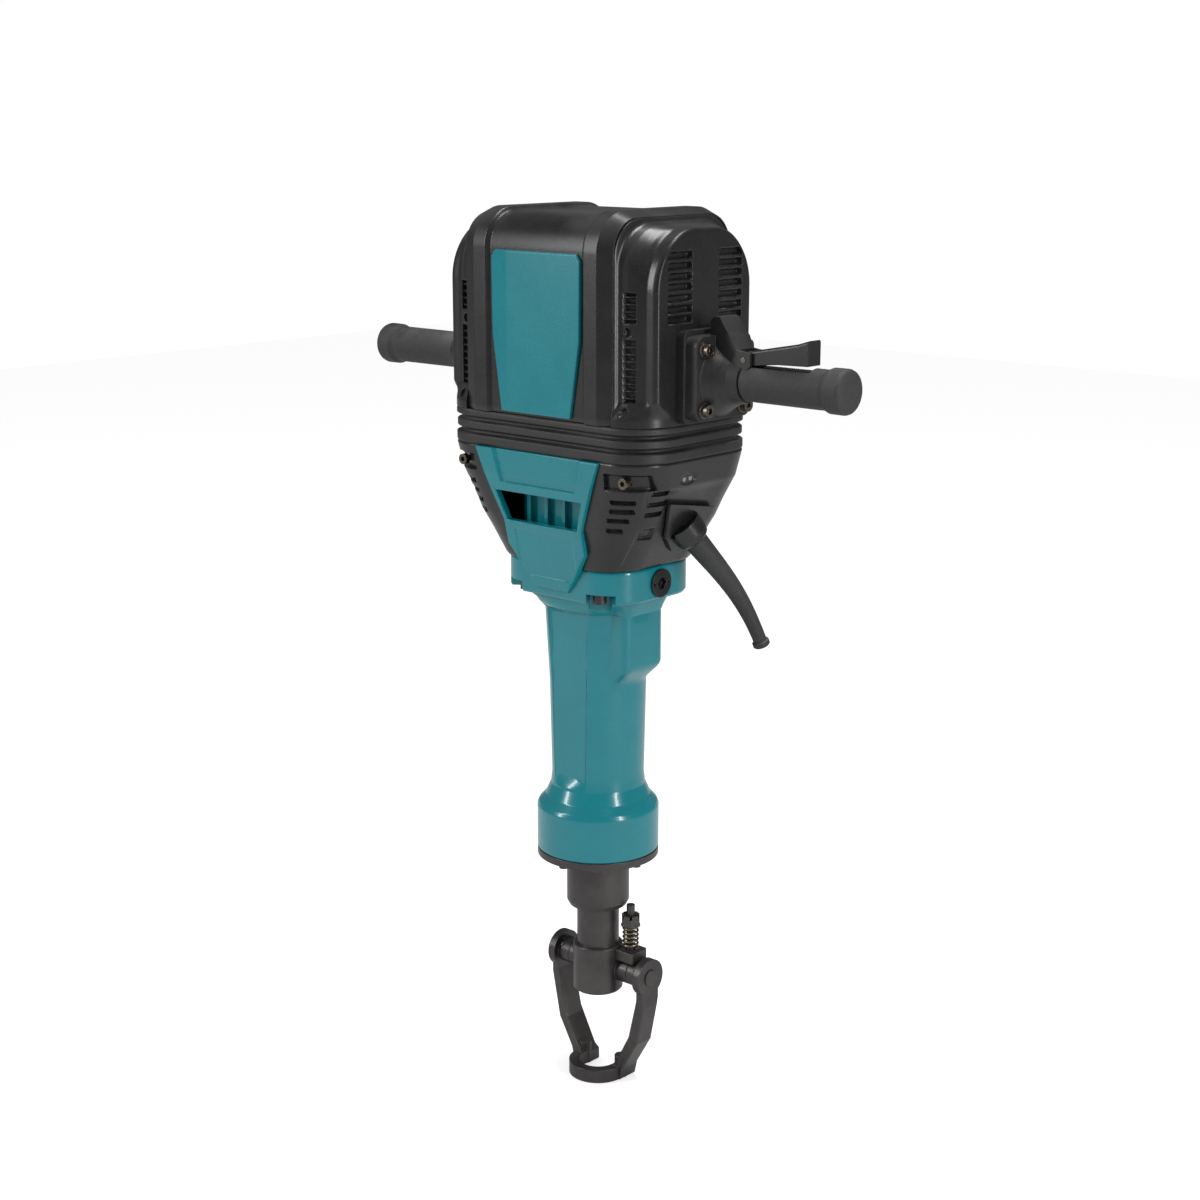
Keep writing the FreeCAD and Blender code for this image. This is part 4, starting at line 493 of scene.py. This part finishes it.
# %% Badge plate
def badge_grid():
    """Rows climb the plate; across it, x = u * halfwidth(z); the front is rolled at the edges and folded at
    the left."""
    z = spread(641, 6, 643, 30, 718, 30, 794, 14, 801)
    half = np.interp(z, [641, 718, 794, 801], [47, 60, 61, 55])
    u = np.concatenate([np.linspace(-1, -0.96, 7), np.linspace(-0.95, 0.95, 60), np.linspace(0.96, 1, 7)])
    x = u[None, :] * half[:, None]
    edge = np.minimum(half[:, None] - np.abs(x), np.minimum(z - 641, 801 - z)[:, None])
    roll = 1.4 * (1 - np.sqrt(np.clip(1 - (1 - np.clip(edge / 1.4, 0, 1)) ** 2, 0, 1)))
    fold = 0.11 * np.maximum(-38 - x, 0)
    front = -HOOD_FRONT + 0.3 + roll + fold
    back = np.full_like(front, -HOOD_FRONT + 4.6)
    return np.stack([np.hstack([x, x[:, ::-1]]), np.hstack([front, back]), np.repeat(z[:, None], 2 * len(u),
                                                                                     1)], -1)


badge = skin("badge_skin", badge_grid(), "hood", ["badge_plate"], teal_mould, "strip", 30)

# %% [markdown]
# ## The rubber boot
# A soft boot seals the gap between the fixed lower part and the cushioned hood. Its lower edge
# stays, its upper edge rides up and down; the mesh here is tied to neither body.

# %% Bellows
def boot_grid():
    """Rounded rectangle of half sizes 140 and 92 whose inset follows rounded pleats with height, plus an
    inner wall."""
    z = np.linspace(602.05, 637.6, 72)
    stops = [602, 604, 612, 613.6, 616.4, 618, 625, 626.6, 629.4, 631, 636, 637.7]
    inset = np.interp(z, stops, [1.6, 0, 0, 6.5, 6.5, 0.8, 0.8, 6.5, 6.5, 0, 0, 1.4])
    kernel = np.array([0.25, 0.5, 0.25])
    inset = np.convolve(np.pad(inset, 1, "edge"), kernel, "valid")
    angle = np.linspace(-np.pi, np.pi, 360, endpoint=False)[None, :]
    outer = round_rect_radius(angle, 140, 92, 46) - inset[:, None] * 1.05
    inner = round_rect_radius(angle, 129, 81, 35) + 0 * z[:, None]
    r = np.vstack([outer, inner[::-1]])
    level = np.concatenate([z, z[::-1]])[:, None]
    return np.stack([r * np.cos(angle), r * np.sin(angle), level + 0 * angle], -1)


boot = skin("boot_skin", boot_grid(), None, ["bellows"], rubber, "loop", 60)
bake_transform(boot)

# %% [markdown]
# ## The lower covers
# Below the boot a funnel of black covers narrows to the collar. Each cover is again a polar
# surface: the radius comes from rounded rectangles that shrink with height, and cooling slots, the
# bolt pocket, the lamp window and the long crease are worked in as changes of that radius.

# %% Funnel outline and what is cut into it
FUNNEL = np.array([[485, 88, 69.5, 42], [513, 103, 76, 43], [532, 113, 82, 44], [550, 121, 85, 45],
                   [575, 134, 89, 46], [602, 140, 92, 46]])
FRONT_EDGE = np.array([[458, 22], [466, 30], [502, 52], [528, 53], [559, 65], [601.5, 84]])


def funnel_radius(angle, z):
    """Rounded-rectangle radius with half sizes interpolated in height."""
    hx, hy, r = (np.interp(z, FUNNEL[:, 0], FUNNEL[:, k]) for k in (1, 2, 3))
    return round_rect_radius(angle, hx, hy, r)


def dent(x, y, x0, x1, y0, y1, soft):
    """1 inside a rectangle of two coordinates and 0 outside, with a soft border."""
    return (smooth(x, x0 - soft, x0 + soft) * (1 - smooth(x, x1 - soft, x1 + soft))
            * smooth(y, y0 - soft, y0 + soft) * (1 - smooth(y, y1 - soft, y1 + soft)))


FRONT_SLOTS = [(93, 115, 563), (90.5, 111, 553.5), (86, 104.5, 543.5), (83, 97, 532.5)]
SIDE_SLOTS = [(-62, -43, 571.5), (-61, -36, 560), (-59, -38.5, 549)]


def lower_cover(mirrored):
    """Right-hand cover between the front panel's edge and the rear strip; mirrored gives the left one.

    Outer radius = funnel - crease - slots - pockets; the inner wall lies 3.6 further in."""
    z = spread(485.2, 30, 528, 60, 577, 26, 600.4, 3, 601.9)[:, None]
    edge_x = np.interp(z, FRONT_EDGE[:, 0], FRONT_EDGE[:, 1]) + 0.4
    hy = np.interp(z, FUNNEL[:, 0], FUNNEL[:, 2])
    start, end = np.arctan2(-hy, edge_x), np.arctan2(hy, 52.4)
    u = np.concatenate([np.linspace(0, 0.52, 190), np.linspace(0.525, 1, 90)])[None, :]
    angle = start + (end - start) * u
    base = funnel_radius(angle, z)
    x, y = base * np.cos(angle), base * np.sin(angle)
    crease_y = np.interp(z, [495.8, 517.3, 543.9, 575.5], [-57.2, -58.5, -61.8, -69.9])
    cutin = 2.0 * smooth(y, crease_y - 0.8, crease_y + 1.4) * (1 - smooth(y, 20, 60)) * (1 - smooth(z, 566,
                                                                                                    578))
    for x0, x1, level in FRONT_SLOTS:
        cutin = cutin + 5.5 * dent(x, z, x0, x1, level - 2, level + 2, 0.5) * (y < 0)
    for y0, y1, level in SIDE_SLOTS:
        cutin = cutin + 5.5 * dent(y, z, y0, y1, level - 2, level + 2, 0.5) * (x > 0)
    cutin = cutin + 7.0 * dent(x, z, 89, 131, 576, 591, 1.2) * (y < -50)
    cutin = cutin + 4.0 * dent(y, z, -55, -40, 522, 533, 1.5) * (x > 80)
    if not mirrored:
        oval = ((y + 18) / 12.6) ** 2 + ((z - 583) / 6.0) ** 2
        cutin = cutin + 1.8 * (1 - smooth(oval, 0.8, 1.15)) * (x > 100)
    lip = 0.9 * (1 - smooth(z, 485.2, 487.5)) + 0.9 * smooth(z, 600.4, 601.9)
    outer = base - cutin - lip
    inner = np.minimum(base - 3.6, outer - 1.6)
    r = np.hstack([outer, inner[:, ::-1]])
    turn = np.hstack([angle, angle[:, ::-1]])
    side = -1 if mirrored else 1
    return np.stack([side * r * np.cos(turn), r * np.sin(turn), z + 0 * r], -1)


skin("lower_right_skin", lower_cover(False), "main", ["lower_right_cover"], black,
     "strip", 35)
skin("lower_left_skin", lower_cover(True), "main", ["lower_left_cover"], black,
     "strip", 35)

# %% [markdown]
# ## The hood's side covers
# Each side cover starts at the edge of the raised band, dips into a valley that holds the windows
# and their screws, and comes out to a D-shaped pad that carries the handle. It is the same arch
# again, with its width, height and corner changing on the way out. At the foot it swells to the
# full footprint, which makes the soft lip under the windows. The pad's flat end closes the shape.

# %% Side covers
STATIONS = np.array([[98.8, 88.0, 835.2, 38], [99.6, 87.2, 834.4, 38.6], [101.2, 83.0, 830.6, 41],
                     [104, 81.6, 829.3, 42], [111, 80.0, 828.0, 44], [117, 77.4, 826.8, 47], [122, 74.6,
                                                                                              826.2, 51],
                     [125, 72.6, 826.6, 56], [127, 72.0, 827.0, 59], [134.5, 72.0, 827.0, 60], [137.6, 71.3,
                                                                                                826.3, 59.3],
                     [139.4, 69.6, 824.6, 57.6], [140, 67.6, 822.6, 55.6]])
WINDOWS = [(738, 766), (662, 722)]
SLOT_LEVELS = np.array([801, 791, 781, 771, 760.5, 750, 740])


def hood_arch(half, top, corner, share):
    """Closed outline in (y, z): front side up, rounded roof, back side down, then along the foot.

    share runs 0 to 1 round it, with fixed parts for each stretch so that rows match up."""
    up, turn = np.clip(share / 0.33, 0, 1), np.clip((share - 0.33) / 0.11, 0, 1) * np.pi / 2
    over, back = np.clip((share - 0.44) / 0.06, 0, 1), np.clip((share - 0.50) / 0.06, 0, 1)
    turn2, down = np.clip((share - 0.56) / 0.11, 0, 1) * np.pi / 2, np.clip((share - 0.67) / 0.33, 0, 1)
    flat = half - corner
    y = -half + corner * (1 - np.cos(turn)) + flat * over + flat * back + corner * np.sin(turn2)
    z = HOOD_FOOT + (top - corner - HOOD_FOOT) * up + corner * np.sin(turn) - corner * (1 - np.cos(turn2))
    z = z - (top - corner - HOOD_FOOT) * down
    return y, z

END_ROWS = 128       # over the flat end
ARCH_COLUMNS = 430   # round the arch
FOOT_COLUMNS = 23    # back under the foot


def side_cover(side):
    """Rows go out along the stations, then shrink over the flat end towards its foot.

    Width = station width, going over to the footprint below the lip; windows, screw dimples and
    the slots in the end are pressed in."""
    run = np.concatenate([[0], np.cumsum(np.hypot(np.diff(STATIONS[:, 0]), np.diff(STATIONS[:, 1])))])
    s = spread(0, 6, run[3], 44, run[7], 8, run[9], 14, run[-1])
    x, half, top, corner = (np.interp(s, run, STATIONS[:, k])[:, None] for k in range(4))
    shrink = np.concatenate([np.zeros(len(s)), np.linspace(0.006, 0.965, END_ROWS)])[:, None]
    x, half, top, corner = (np.vstack([v, np.repeat(v[-1:], END_ROWS, 0)]) for v in (x, half, top, corner))
    share = np.linspace(0, 1, ARCH_COLUMNS)[None, :]
    y, z = hood_arch(half, top, corner, share)
    foot = 46 + np.sqrt(np.maximum(46 ** 2 - np.maximum(x - 94, 0) ** 2, 0))
    lift = smooth(z, 645, 663)
    wide = foot * (1 - lift) + half * lift
    y = np.where(z < 700, y / half * wide, y)
    on_flank = (share < 0.33) | (share > 0.67)
    pressed = np.zeros_like(y)
    for z0, z1 in WINDOWS:
        opening = dent(x + 0 * z, z, 104.8, 117.4, z0, z1, 0.5)
        fins = 4.6 * np.clip(1.9 - np.abs((z - z0) % 7.0 - 3.5) / 0.9, 0, 1)
        pressed = pressed + opening * (6.5 - fins)
    for level in (729, 652):
        pressed = pressed + 3.4 * (1 - smooth(np.hypot(x - 109.5, z - level), 3.8, 4.3))
    y = y - np.sign(y) * pressed * on_flank * (shrink == 0)
    z = HOOD_FOOT + (z - HOOD_FOOT) * (1 - shrink)
    y = y * (1 - shrink)
    nearest = np.abs(z[..., None] - SLOT_LEVELS).min(-1)
    slots = smooth(np.abs(y), 20.5, 21.5) * (1 - smooth(np.abs(y), 55.5, 56.5)) * (1 - smooth(nearest, 2.6,
                                                                                              3.3))
    x = x - 6.0 * slots * (shrink > 0)
    across = np.linspace(1, 0, FOOT_COLUMNS + 1, endpoint=False)[None, 1:]
    y = np.hstack([y, y[:, :1] + (y[:, -1:] - y[:, :1]) * across])
    z = np.hstack([z, np.full((len(z), FOOT_COLUMNS), HOOD_FOOT)])
    x = np.hstack([x, np.repeat(x[:, -1:], FOOT_COLUMNS, 1)])
    return np.stack([side * x, y, z], -1)


skin("right_side_skin", side_cover(1), "hood", ["right_side_cover", "vent_louvres"], black,
     "fan", 40)
skin("left_side_skin", side_cover(-1), "hood", ["left_side_cover"], black, "fan", 40)

# %% [markdown]
# ## The front grip panel
# The teal panel in front has a gap that leaves a bar to lift the machine by. It is a frame round a
# hole, so its grid runs from the edge of the hole to the outer edge, and right round.

# %% Front panel
def along(points, share):
    """Points of a closed polygon at the given shares of its side count (a share of 1 is one side)."""
    corners = np.array(points + points[:1], float)
    k = np.minimum(share.astype(int), len(points) - 1)
    f = (share - k)[:, None]
    return corners[k] * (1 - f) + corners[k + 1] * f


def front_panel():
    """Blend between hole and outline; y follows the leaning face, with a recess above and rolled edges."""
    hole = [(0, 558), (59, 558), (48, 528), (36, 528), (20, 528), (0, 528), (-20, 528), (-36, 528),
            (-48, 528), (-59, 558)]
    rim = [(0, 601.5), (84, 601.5), (53, 528), (52, 502), (22, 458.5), (0, 458.5), (-22, 458.5), (-52, 502),
           (-53, 528),
           (-84, 601.5)]
    share = np.linspace(0, 10, 480, endpoint=False)
    inner, outer = along(hole, share), along(rim, share)
    t = np.concatenate([np.linspace(0, 0.08, 8), np.linspace(0.1, 0.9, 44), np.linspace(0.92, 1, 8)])
    flat = inner[None] * (1 - t[:, None, None]) + outer[None] * t[:, None, None]
    x, z = flat[..., 0], flat[..., 1]
    face = np.interp(z, [458, 466, 500, 528, 558, 575, 601.5], [-71, -73, -80, -86, -91, -93.5, -95])
    back = np.interp(z, [458, 488, 528, 558, 601.5], [-68, -68, -78, -84, -87])
    recess_half = np.interp(z, [568, 611], [50, 62])
    recess = 3.4 * smooth(z, 567, 569) * (1 - smooth(np.abs(x), recess_half - 1.5, recess_half + 1.5))
    crease = 1.0 * smooth(z, 470, 472) * (1 - smooth(z, 519, 521)) * (1 - smooth(np.abs(x), 38, 40))
    gap = np.minimum(t, 1 - t)[:, None] * np.linalg.norm(outer - inner, axis=1)[None, :]
    roll = 1.8 * (1 - np.sqrt(np.clip(1 - (1 - np.clip(gap / 1.8, 0, 1)) ** 2, 0, 1)))
    front = face + recess + crease + roll
    y = np.vstack([front, np.maximum(back, front + 1.5)[::-1]])
    return np.stack([np.vstack([x, x[::-1]]), y, np.vstack([z, z[::-1]])], -1)


panel = skin("front_panel_skin", front_panel(), "main", ["front_grip_cover"], teal_mould,
             "loop", 32)

# %% [markdown]
# ## Grips
# The rubber grips are turned shapes with fine rings and a rounded knob. On the switch side a
# trough is worked into the top for the lever: there the radius is cut down to a flat floor.

# %% Both grips
GRIP_LINE, GRIP_TIP = 682.0, 314.4


def grip_grid(side, trough):
    """Radius by distance and angle about the grip's own axis; rings are a small sine along it."""
    x = np.concatenate([[195.05], np.linspace(195.6, 288, 210), np.linspace(288.5, GRIP_TIP - 1.5, 40),
                        GRIP_TIP - 1.5 * (1 - np.linspace(0, 1, 8)) ** 2])[:, None]
    line = np.interp(x, [195.05, 196.5, 289, 295, 309, 312, 313.5, GRIP_TIP], [17.6, 19, 19.2, 21.7, 21.8,
                                                                               20.8, 18.6, 14.6])
    angle = np.linspace(0, 2 * np.pi, 200, endpoint=False)[None, :]
    rings = 0.16 * np.sin(2 * np.pi * x / 2.4) * smooth(x, 203, 207) * (1 - smooth(x, 282, 286))
    r = line + rings + 0 * angle
    if trough:
        in_trough = (np.abs(r * np.sin(angle)) < 10.8) & (np.cos(angle) > 0) & (x < 274)
        r = np.where(in_trough, np.minimum(r, 8.2 / np.maximum(np.cos(angle), 0.2)), r)
    return np.stack([side * x + 0 * r, r * np.sin(angle), GRIP_LINE + r * np.cos(angle)], -1)


skin("left_grip_skin", grip_grid(-1, False), "hood", ["left_grip"], grip, "fan", 60)
skin("right_grip_skin", grip_grid(1, True), "hood", ["right_grip"], grip, "fan", 45)

# %% [markdown]
# ## The cord guard
# The guard is a tapered rubber sleeve. Circles are carried along a smooth line from the clamp to
# the tip, out along the outside and back along the bore, so the tip shows its real wall.

# %% Guard
GUARD_LINE = np.array([[114, 8, 524], [118, 14, 515], [127.5, 33, 489], [137, 57, 457], [144.5, 76, 423],
                       [149, 87, 398]])
GUARD_RADIUS = np.array([12.8, 12.5, 11.0, 9.2, 7.6, 7.0])


def guard_grid():
    """Cubic through the line's points by running length; circle radius tapers and swells to a lip at the
    tip."""
    run = np.concatenate([[0], np.cumsum(np.linalg.norm(np.diff(GUARD_LINE, axis=0), axis=1))])
    s = np.concatenate([np.linspace(0, run[-1] - 4, 120), np.linspace(run[-1] - 3.7, run[-1] + 2.8, 22)])
    fit = [np.polyfit(run, GUARD_LINE[:, k], 4) for k in range(3)]
    line = np.stack([np.polyval(c, s) for c in fit], -1)
    ahead = np.stack([np.polyval(np.polyder(c), s) for c in fit], -1)
    ahead /= np.linalg.norm(ahead, axis=1)[:, None]
    across = np.cross(ahead, [0.2, -0.4, 1.0])
    across /= np.linalg.norm(across, axis=1)[:, None]
    third = np.cross(ahead, across)
    radius = np.interp(s, run, GUARD_RADIUS)
    lip = 2.0 * smooth(s, run[-1] - 3.6, run[-1] - 2.2) - 1.0 * smooth(s, run[-1] + 1.8, run[-1] + 2.8)
    outer = radius + lip
    bore = np.full_like(s, 4.6)
    r = np.concatenate([outer, bore[::-1]])[:, None, None]
    where = np.concatenate([line, line[::-1]])[:, None, :]
    a = np.concatenate([across, across[::-1]])[:, None, :]
    b = np.concatenate([third, third[::-1]])[:, None, :]
    angle = np.linspace(0, 2 * np.pi, 72, endpoint=False)[None, :, None]
    return where + r * (np.cos(angle) * a + np.sin(angle) * b)


guard = skin("cord_guard_skin", guard_grid(), "main", ["cord_guard"], grip, "loop", 40)

# %% [markdown]
# ## Floor, light and camera
# A pale sheet runs under the hammer, large soft lamps stand left, right and above, and the
# camera looks a little down on the corner between the badge and the switch handle.

# %% Stage
floor_z = cad_box[0][2] - 0.001
plane = bpy.data.meshes.new("floor")
half = 6.0
plane.from_pydata([(-half, -half, floor_z), (half, -half, floor_z), (half, half, floor_z), (-half, half,
                                                                                            floor_z)],
                  [], [(0, 1, 2, 3)])
floor = bpy.data.objects.new("floor", plane)
bpy.context.scene.collection.objects.link(floor)
pale = bpy.data.materials.new("pale_floor")
pale.use_nodes = True
pale.node_tree.nodes["Principled BSDF"].inputs["Base Color"].default_value = (0.55, 0.55, 0.55, 1)
pale.node_tree.nodes["Principled BSDF"].inputs["Roughness"].default_value = 0.9
pale.node_tree.nodes["Principled BSDF"].inputs["Specular IOR Level"].default_value = 0.0
pale.node_tree.nodes["Principled BSDF"].inputs["Emission Color"].default_value = (1, 1, 1, 1)
plane.materials.append(pale)

print("floor at", round(floor_z, 4), "m")

# %% [markdown]
# ## Surroundings
# The camera sees a white backdrop, and shiny surfaces see a darker one, so that they keep their contrast.

# %% Surroundings
world = bpy.data.worlds.new("studio")
bpy.context.scene.world = world
world.use_nodes = True
background = world.node_tree.nodes["Background"]
background.inputs["Color"].default_value = (1.0, 1.0, 1.0, 1)


def by_ray(tree, ray, otherwise, when):
    """A value that is `when` for one kind of light path and `otherwise` for the rest."""
    path = tree.nodes.new("ShaderNodeLightPath")
    pick = tree.nodes.new("ShaderNodeMapRange")
    pick.inputs["To Min"].default_value = otherwise
    pick.inputs["To Max"].default_value = when
    tree.links.new(path.outputs[ray], pick.inputs["Value"])
    return pick.outputs[0]


sky = world.node_tree
level = math_node(sky, "MULTIPLY", by_ray(sky, "Is Camera Ray", 0.62, 1.02), by_ray(sky, "Is Glossy Ray", 1.0,
                                                                                    0.24))
sky.links.new(level, background.inputs["Strength"])
sheet = pale.node_tree
sheet.links.new(by_ray(sheet, "Is Camera Ray", 0.05, 0.62),
                sheet.nodes["Principled BSDF"].inputs["Emission Strength"])
print("surroundings ready")

# %% [markdown]
# ## Lamps
# Tall narrow lamps at the left and the right draw upright streaks on the covers, and a wide one is above.


# %% Lamps
def lamp(name, place, aim, size, power):
    """Soft rectangular lamp at place, turned to face aim."""
    data = bpy.data.lights.new(name, "AREA")
    data.shape = "RECTANGLE"
    data.size, data.size_y = size
    data.energy = power
    obj = bpy.data.objects.new(name, data)
    bpy.context.scene.collection.objects.link(obj)
    obj.location = place
    obj.rotation_euler = (Vector(aim) - Vector(place)).to_track_quat("-Z", "Y").to_euler()
    return obj


middle = (0.0, 0.0, 0.45)
lamp("key_left", (-1.5, -2.2, 1.6), middle, (0.34, 1.9), 36)
lamp("side_right", (2.6, -0.2, 1.0), middle, (0.28, 1.7), 30)
lamp("top", (0.3, 0.4, 2.9), middle, (1.6, 0.5), 38)
print("three lamps placed")

# %% [markdown]
# ## Camera
# It stands at the front right, a little above the tool's middle, as in the photo.

# %% Camera
cam_data = bpy.data.cameras.new("camera")
cam = bpy.data.objects.new("camera", cam_data)
bpy.context.scene.collection.objects.link(cam)
azimuth, elevation, distance = math.radians(42.0), math.radians(13.47), 2.1634
target = np.array([0.0, 0.0, 0.43535])
back = np.array([math.sin(azimuth) * math.cos(elevation), -math.cos(azimuth) * math.cos(elevation),
                 math.sin(elevation)])
cam.location = tuple(target + back * distance)
cam.rotation_euler = Vector(tuple(-back)).to_track_quat("-Z", "Y").to_euler()
cam_data.sensor_width = 36.0
cam_data.lens = 61.9
cam_data.shift_x = 0.0016
cam_data.clip_end = 30
bpy.context.scene.camera = cam
bpy.context.scene.view_settings.view_transform = "Standard"
